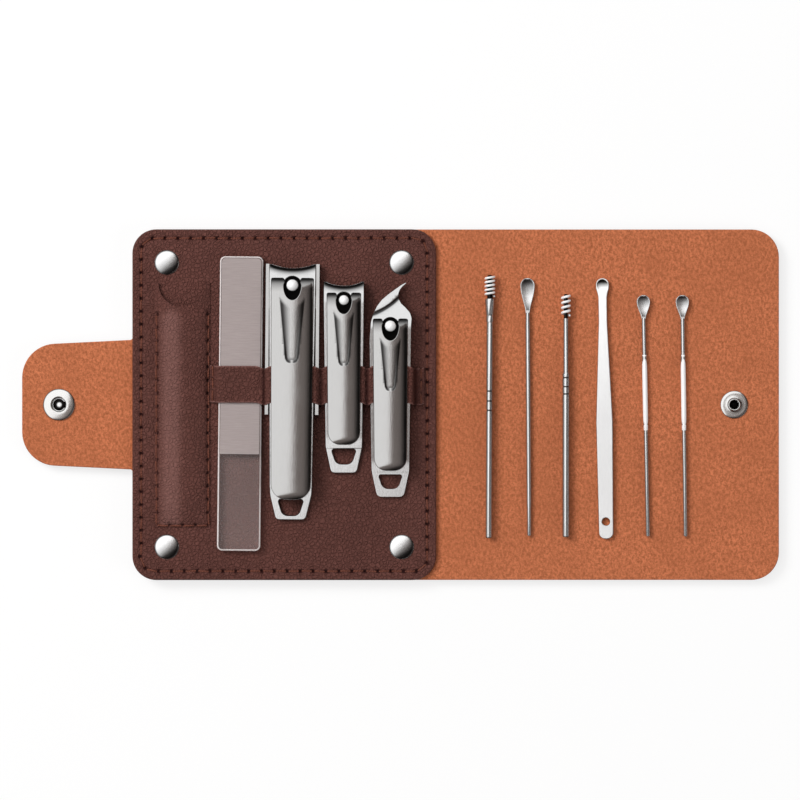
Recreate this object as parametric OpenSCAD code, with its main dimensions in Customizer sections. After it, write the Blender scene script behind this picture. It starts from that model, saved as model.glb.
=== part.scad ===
/* [Case] */
// Height of the case along its spine
case_h = 109.7; // [106:0.1:114]
// Width of the stitched panel
panel_w = 95; // [93:0.1:98]
// Corner radius of the stitched panel
panel_r = 7.5; // [5:0.1:9]
// Width of the spine between the two long folds
spine_w = 14.1; // [13.5:0.1:16]
// Width of the cover beyond the spine
cover_w = 92.8; // [90:0.1:98]
// Corner radius of the cover
cover_r = 8.6; // [5:0.1:12]
// Reach of the closing tab beyond the panel
tab_len = 34.6; // [32:0.1:40]
// Width of the tab at its root
tab_root_w = 40.5; // [38:0.1:44]
// Width of the tab near its end
tab_end_w = 37.2; // [34:0.1:38]
// Corner radius of the tab
tab_r = 10.6; // [8:0.1:12]
// Length of the tab's riser between its two folds
riser_w = 7.8; // [7:0.1:9]
// Thickness of the outer leather
leather_t = 0.9; // [0.7:0.05:1.2]
// Thickness of the suede lining
lining_t = 0.6; // [0.4:0.05:0.8]
// Open slit at each fold
fold_slit = 0.15; // [0.1:0.05:0.3]

/* [Panel] */
// Thickness of the panel's board
board_t = 0.8; // [0.6:0.05:1.2]
// Thickness of the panel's leather face
face_t = 0.8; // [0.6:0.05:1.2]
// Distance from the panel's edge to its seam
seam_inset = 2.8; // [2.4:0.1:3]
// Pitch of the seam's stitches
stitch_pitch = 4; // [3.4:0.1:5]
// Length of one stitch above the leather
stitch_l = 2.7; // [2:0.1:3]
// Width of the thread
thread_w = 0.5; // [0.4:0.05:0.7]
// Height of the thread above the leather
thread_h = 0.25; // [0.15:0.05:0.4]
// Distance of the rivets from the panel's side edges
rivet_in_x = 10.8; // [10:0.1:12]
// Distance of the rivets from the panel's top and bottom edges
rivet_in_y = 10.4; // [10:0.1:11]
// Diameter of a rivet cap
rivet_d = 7.7; // [7:0.1:8.5]
// Height of a rivet cap
rivet_h = 0.75; // [0.6:0.05:0.8]

/* [Pocket] */
// Width of the pocket between its side seams
pocket_w = 15.6; // [14:0.1:15.8]
// Length of the pocket from the notch's middle to its bottom seam
pocket_l = 75.4; // [70:0.1:76]
// Length of the pocket's side seams
pocket_seam_l = 65.5; // [60:0.1:68]
// Height of the pocket's bulge
pocket_h = 3.1; // [2.4:0.1:3.2]
// Leather thickness of the pocket
pocket_t = 0.7; // [0.5:0.05:0.8]
// Radius of the thumb notch in the pocket's mouth
notch_r = 7.4; // [6:0.1:7.5]
// Distance from the panel's left edge to the pocket's middle
pocket_at = 15.7; // [15.3:0.1:16]
// Distance from the panel's bottom edge to the pocket's bottom seam
pocket_low = 17.4; // [17:0.1:19]

/* [Strap] */
// Width of the strap
strap_w = 12.6; // [10:0.1:13]
// Thickness of the strap
strap_t = 0.7; // [0.5:0.05:0.7]
// Height of the strap's middle above the case's middle
strap_y = 6.6; // [5:0.1:7]
// Length of the strap's stitched end on the left
strap_foot_left = 1.8; // [1.4:0.1:1.9]
// Length of the strap's stitched end on the right
strap_foot_right = 2.4; // [1.6:0.1:3]

/* [Snaps] */
// Diameter of the snap's cap and socket
socket_d = 10; // [9:0.1:11]
// Height of the socket above the suede
socket_h = 0.7; // [0.6:0.05:0.8]
// Diameter of the socket's mouth
socket_hole_d = 4.3; // [4.2:0.1:4.6]
// Height of the cap outside the leather
cap_h = 0.9; // [0.7:0.05:1.1]
// Distance from the tab's end to the middle of its snap
tab_snap_in = 11.6; // [11:0.1:13]
// Diameter of the stud's head
stud_d = 3.5; // [3.3:0.1:3.6]
// Height of the stud outside the leather
stud_h = 1.6; // [1.4:0.05:1.7]
// Diameter of the eyelet post's flange
post_d = 8.75; // [8:0.1:9.5]
// Distance from the cover's free edge to the middle of its snap
cover_snap_in = 14; // [13:0.1:15]

/* [Nail file] */
// Length of the glass nail file
file_l = 92; // [88:0.5:95]
// Width of the nail file
file_w = 13.6; // [12:0.1:13.8]
// Thickness of the nail file
file_t = 2.2; // [1.8:0.1:2.3]
// Corner radius of the nail file
file_r = 1.6; // [1:0.1:3]
// Length of the etched grit face
grit_l = 61.7; // [50:0.1:64]
// Distance from the panel's left edge to the file's middle
file_at = 33.8; // [33.7:0.05:33.9]
// Lean of the file, its top to the right
file_lean = 0.66; // [0:0.02:0.8]
// Distance of the file's lower end from the panel's bottom edge
file_low = 9.2; // [8:0.1:10]

/* [Big clipper] */
// Width of the arms
big_w = 14.5; // [13.8:0.1:14.6]
// Reach of the jaw ahead of the pin
big_jaw = 7; // [6.5:0.1:7.5]
// Reach of the tail behind the pin
big_tail = 73.1; // [72:0.1:75]
// Length of the lever behind the pin
big_lever = 66.7; // [64:0.1:67]
// Reach of its thumb dish behind the pin
big_dish = 24.1; // [20:0.1:26]
// Width of the lever at its fork
big_lever_w = 13.4; // [12:0.1:13.6]
// Thickness of each arm
big_arm_t = 1.3; // [1.2:0.05:1.4]
// Opening between the arms at the pin
big_open = 1.7; // [1.5:0.05:1.8]
// Diameter of the pin's ball
big_ball = 3.9; // [3.5:0.1:4]
// Thickness of the side guard's walls
guard_t = 1; // [0.8:0.05:1]
// Length of the side guard
guard_l = 47; // [42:0.5:50]
// Distance from the panel's left edge to the pin
big_at = 50.2; // [50.15:0.05:50.25]
// Height of the pin above the case's middle
big_y = 37.1; // [36:0.1:37.5]
// Lean of the big clipper, its jaw to the right
big_lean = 0.5; // [0:0.05:0.6]

/* [Small clipper] */
// Width of the arms
small_w = 12.6; // [12:0.1:12.7]
// Reach of the jaw ahead of the pin
small_jaw = 6.1; // [5.8:0.1:6.6]
// Reach of the tail behind the pin
small_tail = 53.9; // [53:0.1:56]
// Length of the lever behind the pin
small_lever = 45; // [43:0.1:45.4]
// Reach of its thumb dish behind the pin
small_dish = 20.4; // [18:0.1:22]
// Width of the lever at its fork
small_lever_w = 10.8; // [10:0.1:11]
// Thickness of each arm
small_arm_t = 1.1; // [1:0.05:1.2]
// Opening between the arms at the pin
small_open = 1.6; // [1.5:0.05:1.7]
// Diameter of the pin's ball
small_ball = 3.3; // [3:0.1:3.4]
// Distance from the panel's left edge to the pin
small_at = 66.2; // [66.15:0.05:66.25]
// Height of the pin above the case's middle
small_y = 32.5; // [31:0.1:33]

/* [Slant clipper] */
// Width of the arms
slant_w = 12.9; // [12.4:0.1:13]
// Reach of the beak ahead of the pin
slant_beak = 13.7; // [13:0.1:14]
// Reach of the tail behind the pin
slant_tail = 53.2; // [52:0.1:55]
// Length of the lever behind the pin
slant_lever = 45; // [43:0.1:45.4]
// Reach of its thumb dish behind the pin
slant_dish = 20.1; // [18:0.1:22]
// Width of the lever at its fork
slant_lever_w = 11; // [10:0.1:11.2]
// Thickness of each arm
slant_arm_t = 1.15; // [1.1:0.05:1.2]
// Opening between the arms at the pin
slant_open = 2.35; // [2.3:0.05:2.4]
// Diameter of the pin's ball
slant_ball = 3.7; // [3.4:0.1:3.8]
// Distance from the panel's left edge to the pin
slant_at = 80.7; // [80.65:0.05:80.75]
// Height of the pin above the case's middle
slant_y = 24.4; // [23:0.1:24.8]

/* [Ear picks] */
// Diameter of the coil on the coil pick
coil_pick_d = 3.4; // [3:0.1:3.4]
// Diameter of the twin spiral on the slim pick
spiral_pick_d = 3.1; // [2.8:0.1:3.2]
// Diameter of a pick's rod
rod_d = 2; // [1.6:0.1:2.2]
// Diameter of a spoon pick's rod
spoon_rod_d = 1.5; // [1.3:0.1:1.6]
// Width of the large spoon's bowl
large_bowl_w = 4.5; // [4:0.1:4.8]
// Length of the large spoon's bowl and neck
large_bowl_l = 11; // [9:0.1:12]
// Width of a small spoon's bowl
small_bowl_w = 4.2; // [3.8:0.1:4.4]
// Length of a small spoon's bowl and neck
small_bowl_l = 7.5; // [7:0.1:9]
// Thickness of the flat spoon
flat_t = 1.2; // [1:0.05:1.4]
// Depth of the spoons
spoon_t = 1.3; // [1.1:0.05:1.4]
// Diameter of the hanging hole in the flat spoon
hang_d = 2.4; // [2:0.1:2.6]

/* [Hidden] */
$fn = 48;

// Clearances: round fits, faces that slide, and seated pieces
fit = 0.05;
slide_gap = 0.15;
seat = 0.1;

// Lines across the case, from the tab's end to the cover's free edge
edge_gap = 0.4;
tab_root = 1.2;
x_end = -(tab_len + panel_w + edge_gap + spine_w + cover_w) / 2;
x_panel = x_end + tab_len;
x_panel_end = x_panel + panel_w;
x_fold_back = x_panel_end + edge_gap;
x_fold_cover = x_fold_back + spine_w;
x_cover_end = x_fold_cover + cover_w;
x_fold_tab = x_panel - tab_root;
x_fold_flap = x_fold_tab - riser_w;

// Levels of the shell and the panel
z_leather = stud_h;
z_lining = z_leather + leather_t;
z_suede = z_lining + lining_t;
z_face = z_suede + board_t;
z_top = z_face + face_t;
shell_t = leather_t + lining_t;

// Rivets, snaps and their shanks
shank_r = 1.2;
rivet_foot_r = 3;
rivet_foot_t = 0.35;
rivet_x = panel_w / 2 - rivet_in_x;
rivet_y = case_h / 2 - rivet_in_y;
panel_mid = x_panel + panel_w / 2;
rivet_spots = [for (sx = [-1, 1], sy = [-1, 1]) [panel_mid + sx * rivet_x, sy * rivet_y]];
tab_snap_x = x_end + tab_snap_in;
cover_snap_x = x_cover_end - cover_snap_in;
socket_wall = 0.55;
socket_neck_r = socket_hole_d / 2 + socket_wall;
socket_deep = 1.05;
socket_floor = 0.15;
spring_wire = 0.15;
post_tube_r = 1.95;
post_bore_r = 1.35;
stud_flange_t = 0.3;
stud_flange_r = 4;

// Clippers: running levels, all above the panel's top
base = 0.1;
lever_lift = 0.3;
lever_t = 1.2;
lever_crown = 0.6;
axle_fwd = 1.5;
axle_up = 1.05;
axle_r = 0.45;
nose_r = 0.95;
jaw_rise = 0.45;
jaw_drop = 0.15;
beak_drop = 0.9;
jaw_hollow = 1.5;
tail_taper = 8;
big_hinge = big_tail - 13;
small_hinge = small_tail - 11;
slant_hinge = slant_tail - 11;
big_hole = [8.1, 6.4, 1.3];
small_hole = [7.8, 7.5, 2.8];
slant_hole = [7.8, 7, 2.5];
rivet_r = 1.4;

function turn2(p, a) = [p.x * cos(a) - p.y * sin(a), p.x * sin(a) + p.y * cos(a)];
function arm_top(t, open) = base + 2 * t + open;
function arm_slope(open, hinge) = (open - seat) / hinge;
function toward(v) = v / norm(v);

// One rounded corner b between a and c, as points along its arc
function corner(a, b, c, r, n) =
    r <= 0 ? [b] :
    let (
        u = toward(a - b),
        v = toward(c - b),
        half = acos(u * v) / 2,
        mid = b + toward(u + v) * r / sin(half),
        p = b + u * r / tan(half) - mid,
        q = b + v * r / tan(half) - mid,
        a0 = atan2(p.y, p.x),
        sweep = ((atan2(q.y, q.x) - a0 + 540) % 360) - 180
    )
    [for (i = [0:n]) mid + r * [cos(a0 + sweep * i / n), sin(a0 + sweep * i / n)]];

// An outline whose corners are rounded, each with its own radius
function rounded(pts, radii, n = 6) = [
    for (i = [0:len(pts) - 1])
        each corner(pts[(i + len(pts) - 1) % len(pts)], pts[i], pts[(i + 1) % len(pts)], radii[i], n)
];

function box_pts(x0, x1, y0, y1) = [[x0, y0], [x1, y0], [x1, y1], [x0, y1]];
function arc(mid, r, a0, a1, n) = [
    for (i = [0:n]) mid + r * [cos(a0 + (a1 - a0) * i / n), sin(a0 + (a1 - a0) * i / n)]
];
function mirrored(pts) = concat(pts, [for (i = [len(pts) - 1:-1:0]) [-pts[i].x, pts[i].y]]);

// A flat sheet of an outline, from level z, t thick
module sheet(pts, z, t) {
    translate([0, 0, z]) linear_extrude(t) polygon(pts);
}

// A side outline in Y and Z, extruded across X
module across(pts, w) {
    translate([-w / 2, 0, 0]) rotate([90, 0, 90]) linear_extrude(w) polygon(pts);
}

// A turned bar along -Y, from its profile of radius against distance
module turned(profile) {
    rotate([90, 0, 0]) rotate_extrude() polygon(profile);
}

// Outlines of the shell
tab_pts = rounded(
    [[x_fold_tab, -tab_root_w / 2], [x_end, -tab_end_w / 2],
     [x_end, tab_end_w / 2], [x_fold_tab, tab_root_w / 2]],
    [0, tab_r, tab_r, 0], 10);
panel_pts = rounded(
    box_pts(x_panel, x_panel_end, -case_h / 2, case_h / 2),
    [panel_r, panel_r, panel_r, panel_r], 8);
cover_pts = rounded(
    box_pts(x_fold_cover + fold_slit / 2, x_cover_end, -case_h / 2, case_h / 2),
    [0, cover_r, cover_r, 0], 8);
back_pts = concat(
    rounded(box_pts(x_panel, x_fold_back - fold_slit / 2, -case_h / 2, case_h / 2),
            [panel_r, 0, 0, panel_r], 8),
    [[x_panel, tab_root_w / 2], [x_fold_tab + fold_slit / 2, tab_root_w / 2],
     [x_fold_tab + fold_slit / 2, -tab_root_w / 2], [x_panel, -tab_root_w / 2]]);

// The tab's outline between two lines across it
module tab_slice(x0, x1, z, t) {
    intersection() {
        sheet(tab_pts, z, t);
        sheet(box_pts(x0, x1, -case_h, case_h), z, t);
    }
}

module tab_flap(z, t, hole_r) {
    difference() {
        tab_slice(x_end, x_fold_flap - fold_slit / 2, z, t);
        translate([tab_snap_x, 0, z - 1]) cylinder(r = hole_r, h = t + 2);
    }
}

module tab_riser(z, t) {
    tab_slice(x_fold_flap + fold_slit / 2, x_fold_tab - fold_slit / 2, z, t);
}

module tab_flap_leather() color([0.3, 0.19, 0.17]) tab_flap(z_leather, leather_t, socket_neck_r + fit);
module tab_flap_lining() color([0.72, 0.4, 0.26]) tab_flap(z_lining, lining_t, socket_neck_r + fit);
module tab_riser_leather() color([0.3, 0.19, 0.17]) tab_riser(z_leather, leather_t);
module tab_riser_lining() color([0.72, 0.4, 0.26]) tab_riser(z_lining, lining_t);

// The rivets' shank holes, through whatever lies between two levels
module shank_holes(z, t) {
    for (p = rivet_spots)
        translate([p.x, p.y, z - 1]) cylinder(r = shank_r + fit, h = t + 2);
}

module back_leather() {
    color([0.3, 0.19, 0.17]) difference() {
        sheet(back_pts, z_leather, leather_t);
        shank_holes(z_leather, leather_t);
        for (p = rivet_spots)
            translate([p.x, p.y, z_leather - 1]) cylinder(r = rivet_foot_r + fit, h = 1 + rivet_foot_t + fit);
    }
}

module back_lining() {
    color([0.72, 0.4, 0.26]) difference() {
        sheet(back_pts, z_lining, lining_t);
        shank_holes(z_lining, lining_t);
    }
}

module spine(z, t) {
    sheet(box_pts(x_fold_back + fold_slit / 2, x_fold_cover - fold_slit / 2,
                  -case_h / 2, case_h / 2), z, t);
}

module spine_leather() color([0.3, 0.19, 0.17]) spine(z_leather, leather_t);
module spine_lining() color([0.72, 0.4, 0.26]) spine(z_lining, lining_t);

module cover_leather() {
    color([0.3, 0.19, 0.17]) difference() {
        sheet(cover_pts, z_leather, leather_t);
        translate([cover_snap_x, 0, z_leather - 1]) {
            cylinder(r = post_tube_r + fit, h = leather_t + 2);
            cylinder(r = stud_flange_r + fit, h = 1 + stud_flange_t + fit);
        }
    }
}

module cover_lining() {
    color([0.72, 0.4, 0.26]) difference() {
        sheet(cover_pts, z_lining, lining_t);
        translate([cover_snap_x, 0, z_lining - 1]) cylinder(r = post_tube_r + fit, h = lining_t + 2);
    }
}

module panel_board() {
    color([0.55, 0.45, 0.35]) difference() {
        sheet(panel_pts, z_suede, board_t);
        shank_holes(z_suede, board_t);
    }
}

// The panel's seam runs in a shallow groove, so that tools slide out over it
seam_w = panel_w - 2 * seam_inset;
seam_h = case_h - 2 * seam_inset;
seam_r = panel_r - seam_inset;
seam_sink = thread_h - fit;
groove_w = thread_w + 6 * seat;

function seam_outline(grow) = rounded(
    box_pts(panel_mid - seam_w / 2 - grow, panel_mid + seam_w / 2 + grow,
            -seam_h / 2 - grow, seam_h / 2 + grow),
    [for (i = [0:3]) seam_r + grow], 8);

module panel_face() {
    color([0.34, 0.22, 0.2]) difference() {
        sheet(panel_pts, z_face, face_t);
        shank_holes(z_face, face_t);
        difference() {
            sheet(seam_outline(groove_w / 2), z_top - seam_sink, 1);
            sheet(seam_outline(-groove_w / 2), z_top - seam_sink - 1, 3);
        }
    }
}

// Pocket: a bulge of round section, closed at its foot, open at its mouth
pocket_x = x_panel + pocket_at;
pocket_y = -case_h / 2 + pocket_low;
function bow_r(w, h) = (w * w / 4 + h * h) / (2 * h);

module pocket_body(w, h, y0, y1, z) {
    foot_r = 3 * h;
    rise = asin((foot_r - h) / foot_r);
    foot = foot_r * cos(rise);
    intersection() {
        translate([pocket_x, y1, z + h - bow_r(w, h)])
            rotate([90, 0, 0]) cylinder(r = bow_r(w, h), h = y1 - y0, $fn = 96);
        translate([pocket_x - w, y0, z])
            rotate([90, 0, 90]) linear_extrude(2 * w) polygon(concat(
                [[y1 - y0, 0], [y1 - y0, h + 1], [foot, h + 1]],
                arc([foot, h - foot_r], foot_r, 90, 180 - rise, 6)));
    }
}

module pocket_front() {
    color([0.34, 0.22, 0.2]) difference() {
        pocket_body(pocket_w, pocket_h, pocket_y, pocket_y + pocket_l, z_top);
        pocket_body(pocket_w - 2 * pocket_t, pocket_h - pocket_t,
                    pocket_y + 2 * pocket_t, pocket_y + pocket_l + 1, z_top);
        translate([pocket_x - pocket_w / 2 + pocket_t, pocket_y + 2 * pocket_t, z_top - 1])
            cube([pocket_w - 2 * pocket_t, pocket_l, 1.01]);
        translate([pocket_x, pocket_y + pocket_l, z_top - 1])
            cylinder(r = notch_r, h = pocket_h + 2);
    }
}

// One stitch lying on the leather at a point, along an angle
module stitch(p, a, z, len) {
    translate([p.x, p.y, z]) rotate([0, 0, a])
        translate([-len / 2, -thread_w / 2, 0]) cube([len, thread_w, thread_h]);
}

// A rounded rectangle's point and heading at distance s along it, for the panel's seam
seam_sides = [seam_w - 2 * seam_r, seam_h - 2 * seam_r];
seam_bend = PI * seam_r / 2;
seam_round = 2 * (seam_sides.x + seam_sides.y) + 4 * seam_bend;

function seam_at(s, k = 0) =
    let (side = seam_sides[k % 2], far = seam_sides[(k + 1) % 2] / 2 + seam_r)
    s < side ? [turn2([s - side / 2, -far], 90 * k), 90 * k] :
    s < side + seam_bend ?
        let (b = (s - side) / seam_bend * 90)
        [turn2([side / 2 + seam_r * sin(b), -far + seam_r * (1 - cos(b))], 90 * k), 90 * k + b] :
    seam_at(s - side - seam_bend, k + 1);

seam_count = floor(seam_round / stitch_pitch);

module seam_thread() {
    color([0.45, 0.25, 0.15]) for (i = [0:seam_count - 1]) {
        spot = seam_at((i + 0.5) * seam_round / seam_count);
        stitch([panel_mid, 0] + spot[0], spot[1], z_top - seam_sink, stitch_l);
    }
}

// The pocket's seam runs down both sides of the bulge and under its foot
pocket_seam = pocket_w / 2 + thread_w / 2 + seat;
pocket_rows = floor(pocket_seam_l / stitch_pitch);
pocket_cols = floor(pocket_w / stitch_pitch);

module pocket_thread() {
    color([0.45, 0.25, 0.15]) {
        for (side = [-1, 1], i = [0:pocket_rows - 1])
            stitch([pocket_x + side * pocket_seam, pocket_y + (i + 0.5) * stitch_pitch],
                   90, z_top, stitch_l);
        for (i = [0:pocket_cols - 1])
            stitch([pocket_x + (i + 0.5 - pocket_cols / 2) * stitch_pitch,
                    pocket_y - thread_w / 2 - seat], 0, z_top, stitch_l);
    }
}

// Where each tool's middle lies at the strap, and how wide and high it is there
function strap_x(at, y, lean) = x_panel + at + (strap_y - y) * sin(lean);
file_y = -case_h / 2 + file_low + file_l / 2;
file_z = base + file_t;
file_mid = strap_x(file_at, file_y, file_lean);
big_mid = strap_x(big_at, big_y, big_lean);
small_mid = x_panel + small_at;
slant_mid = x_panel + slant_at;
guard_z = base + big_arm_t + 1.35;
guard_out = big_w / 2 + seat + guard_t;

function top_at_strap(t, open, hinge, y) =
    arm_top(t, open) - arm_slope(open, hinge) * (y - strap_y - strap_w / 2);

big_strap_z = top_at_strap(big_arm_t, big_open, big_hinge, big_y);
small_strap_z = top_at_strap(small_arm_t, small_open, small_hinge, small_y);
slant_strap_z = top_at_strap(slant_arm_t, slant_open, slant_hinge, slant_y);

// How far the strap stands off each side of a tool
ease = slide_gap + 0.05;
file_edge = [file_mid - file_w / 2 - seat, file_mid + file_w / 2 + seat];
big_edge = [big_mid - guard_out, big_mid + guard_out];
big_in = [big_mid - big_w / 2, big_mid + big_w / 2];
small_edge = [small_mid - small_w / 2, small_mid + small_w / 2];
slant_edge = [slant_mid - slant_w / 2, slant_mid + slant_w / 2];
dip = 0.9;
strap_drop = 1.5;

// A valley of the strap between two tools, at level z
function valley(a, b, z) = [[a + ease, z + dip / 2], [(a + b) / 2, z], [b - ease, z + dip / 2]];

strap_left = file_edge[0] - ease - strap_t - strap_foot_left;
strap_right = slant_edge[1] + ease + strap_drop + strap_foot_right;
under = concat(
    [[strap_left, 0], [file_edge[0] - ease, 0], [file_edge[0] - ease, file_z + seat],
     [file_edge[1] + ease, file_z + seat]],
    [[(file_edge[1] + big_edge[0]) / 2, file_z + seat - dip / 3]],
    [[big_edge[0] - ease, guard_z + seat], [big_in[0] - ease, big_strap_z + seat],
     [big_in[1] + ease, big_strap_z + seat], [big_edge[1] + ease, guard_z + seat]],
    valley(big_edge[1], small_edge[0], guard_z - dip),
    [[small_edge[0] - ease, small_strap_z + seat], [small_edge[1] + ease, small_strap_z + seat]],
    valley(small_edge[1], slant_edge[0], small_strap_z - 2 * dip),
    [[slant_edge[0] - ease, slant_strap_z + seat], [slant_edge[1] + ease, slant_strap_z + seat],
     [slant_edge[1] + ease + strap_drop, 0], [strap_right, 0]]);
over = concat(
    [[strap_right, strap_t], [slant_edge[1] + ease + strap_drop + strap_t / 2, strap_t],
     [slant_edge[1] + ease, slant_strap_z + seat + strap_t],
     [slant_edge[0] - ease, slant_strap_z + seat + strap_t]],
    [[(small_edge[1] + slant_edge[0]) / 2, small_strap_z - dip + strap_t]],
    [[small_edge[1] + ease, small_strap_z + seat + strap_t],
     [small_edge[0] - ease, small_strap_z + seat + strap_t]],
    [[(big_edge[1] + small_edge[0]) / 2, guard_z - dip / 2 + strap_t]],
    [[big_edge[1] + ease, guard_z + seat + strap_t], [big_in[1] + ease, big_strap_z + seat + strap_t],
     [big_in[0] - ease, big_strap_z + seat + strap_t], [big_edge[0] - ease, guard_z + seat + strap_t]],
    [[(file_edge[1] + big_edge[0]) / 2, file_z + seat + strap_t - dip / 3]],
    [[file_edge[1] + ease, file_z + seat + strap_t], [file_edge[0] - ease, file_z + seat + strap_t],
     [file_edge[0] - ease - strap_t, file_z + seat], [file_edge[0] - ease - strap_t, strap_t],
     [strap_left, strap_t]]);

module strap() {
    color([0.32, 0.2, 0.18]) translate([0, strap_y + strap_w / 2, z_top])
        rotate([90, 0, 0]) linear_extrude(strap_w) polygon(concat(under, over));
}

strap_stitches = 4;

module strap_thread() {
    color([0.45, 0.25, 0.15])
        for (x = [strap_left + strap_foot_left / 2, strap_right - strap_foot_right / 2],
             i = [0:strap_stitches - 1])
            stitch([x, strap_y + (i + 0.5 - strap_stitches / 2) * strap_w / (strap_stitches + 0.5)],
                   90, z_top + strap_t, strap_w / (strap_stitches + 0.5) - 1);
}

// Half outline of a shallow dome, from its rim to its crown
function dome(w, h, n = 5) =
    let (r = bow_r(w, h), a = acos(w / 2 / r))
    arc([0, h - r], r, a, 90, n);

// Corner rivets: a domed cap pressed on a post that holds panel and back together
module rivet_caps() {
    color([0.8, 0.8, 0.8]) for (p = rivet_spots) translate([p.x, p.y, z_top])
        rotate_extrude() polygon(concat(dome(rivet_d, rivet_h),
            [[0, rivet_h / 2], [shank_r + fit, rivet_h / 2], [shank_r + fit, 0]]));
}

module rivet_posts() {
    color([0.7, 0.7, 0.7]) for (p = rivet_spots) translate([p.x, p.y, z_leather]) {
        cylinder(r = rivet_foot_r, h = rivet_foot_t);
        cylinder(r = shank_r, h = z_top - z_leather + rivet_h / 2 - fit);
    }
}

// Snap on the tab: cap under the leather, socket over the suede, spring inside it
module snap_cap() {
    shank = shell_t - socket_deep - fit;
    color([0.8, 0.8, 0.8]) translate([tab_snap_x, 0, z_leather]) mirror([0, 0, 1])
        rotate_extrude() polygon(concat(dome(socket_d, cap_h),
            [[0, -shank], [shank_r, -shank], [shank_r, 0]]));
}

module snap_socket() {
    rim = socket_d / 2;
    hole = socket_hole_d / 2;
    color([0.8, 0.8, 0.8]) translate([tab_snap_x, 0, z_suede]) rotate_extrude() polygon([
        [0, -socket_deep], [socket_neck_r, -socket_deep], [socket_neck_r, 0], [rim, 0],
        [rim, socket_h / 3], [rim - socket_h, socket_h], [hole, socket_h],
        [hole, -socket_deep + socket_floor], [0, -socket_deep + socket_floor]]);
}

module snap_spring() {
    color([0.4, 0.4, 0.4]) translate([tab_snap_x, 0, z_suede])
        rotate([0, 0, 30]) rotate_extrude(angle = 300)
            translate([socket_hole_d / 2 - spring_wire - fit, 0]) circle(r = spring_wire, $fn = 16);
}

// Snap on the cover: an eyelet post from the suede side, and the stud outside
module snap_post() {
    rim = post_d / 2;
    color([0.8, 0.8, 0.8]) translate([cover_snap_x, 0, z_suede]) rotate_extrude() polygon([
        [post_bore_r, -shell_t + stud_flange_t], [post_tube_r, -shell_t + stud_flange_t],
        [post_tube_r, 0], [rim, 0], [rim, 0.2], [rim - 0.5, 0.5], [post_tube_r + 0.35, 0.45],
        [post_tube_r, 0.85], [post_bore_r + 0.2, 0.85], [post_bore_r, 0.6]]);
}

module snap_stud() {
    head = stud_d / 2;
    neck = head - 0.35;
    color([0.8, 0.8, 0.8]) translate([cover_snap_x, 0, z_leather]) rotate_extrude() polygon([
        [0, stud_flange_t], [0, -stud_h], [head - 0.3, -stud_h], [head, -stud_h + 0.35],
        [head, -stud_h + 0.6], [neck, -stud_h / 2 + 0.1], [neck, 0], [stud_flange_r, 0],
        [stud_flange_r, stud_flange_t]]);
}

// Glass nail file and its etched face
module on_panel(at, y, lean) {
    translate([x_panel + at, y, z_top]) rotate([0, 0, -lean]) children();
}

module nail_file() {
    w = file_w / 2;
    l = file_l / 2;
    color([0.62, 0.6, 0.6, 0.5]) on_panel(file_at, file_y, file_lean)
        sheet(rounded(box_pts(-w, w, -l, l), [file_r, file_r, file_r, file_r]), base, file_t);
}

grit_t = 0.06;
grit_in = 0.7;

module file_grit() {
    w = file_w / 2 - grit_in;
    l = file_l / 2;
    r = file_r - grit_in;
    color([0.62, 0.6, 0.58]) on_panel(file_at, file_y, file_lean)
        sheet(rounded(box_pts(-w, w, l - grit_l, l - grit_in), [0, 0, r, r]), file_z, grit_t);
}

// Outline of a clipper's arm: jaw, sides that narrow a little, and a tapered tail
function arm_pts(w, jaw, tail) = rounded(
    mirrored([[-w / 2, jaw], [-w * 0.455, -(tail - tail_taper)], [-w * 0.32, -tail]]),
    [0.4, 12, 1.6, 1.6, 12, 0.4]);

// D-shaped hole in a tail: its width, and its ends' distances from the tail's end
module tail_hole(tail, hole) {
    w = hole[0];
    sheet(rounded(mirrored([[-w / 2, hole[1] - tail], [-w * 0.3, hole[2] - tail]]),
                  [0.6, 2.1, 2.1, 0.6]), -1, 5);
}

// The hollow front edge of a straight jaw
module jaw_cut(w, jaw) {
    r = bow_r(w, jaw_hollow);
    translate([0, jaw - jaw_hollow + r, -1]) cylinder(r = r, h = 12, $fn = 96);
}

// Side outlines of the arms
function lower_side(t, jaw, tail) = [
    [-tail - 1, base], [jaw - 4, base], [jaw - 1.5, base + 0.4], [jaw + 1, base + 1],
    [jaw + 1, base + t + jaw_rise], [jaw - 1, base + t + jaw_rise], [jaw - 4, base + t],
    [-tail - 1, base + t]];

function upper_side(t, open, jaw, hinge, front_z, drop) = [
    [-hinge - 3.5, base + t + seat], [-hinge, base + t + seat], [0, base + t + open],
    [jaw + 1, base + t + open - drop], [jaw + 1, base + t + open + front_z],
    [jaw - 1, base + t + open + front_z + 0.1], [1.2, arm_top(t, open) - 0.05],
    [0, arm_top(t, open)], [-hinge, base + 2 * t + seat], [-hinge - 3.5, base + 2 * t + seat]];

// Pin: foot under the lower arm, shank, and a notched ball that holds the lever's axle
pin_foot_r = 2.1;
pin_foot_t = 0.6;
pin_r = 1.25;

module pin_holes(t) {
    translate([0, 0, -1]) {
        cylinder(r = pin_r + fit, h = 12);
        cylinder(r = pin_foot_r + fit, h = 1 + base + pin_foot_t + fit);
    }
}

module pin(t, open, ball) {
    z_axle = arm_top(t, open) + axle_up;
    z_ball = z_axle - 0.2;
    difference() {
        union() {
            translate([0, 0, base]) cylinder(r = pin_foot_r, h = pin_foot_t);
            translate([0, 0, base]) cylinder(r = pin_r, h = z_ball - base);
            translate([0, 0, z_ball]) sphere(d = ball);
        }
        translate([-5, axle_fwd, z_axle]) rotate([0, 90, 0]) cylinder(r = axle_r + seat, h = 10);
        translate([-5, axle_fwd, z_axle - axle_r - seat]) cube([10, 5, 2 * (axle_r + seat)]);
    }
}

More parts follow.
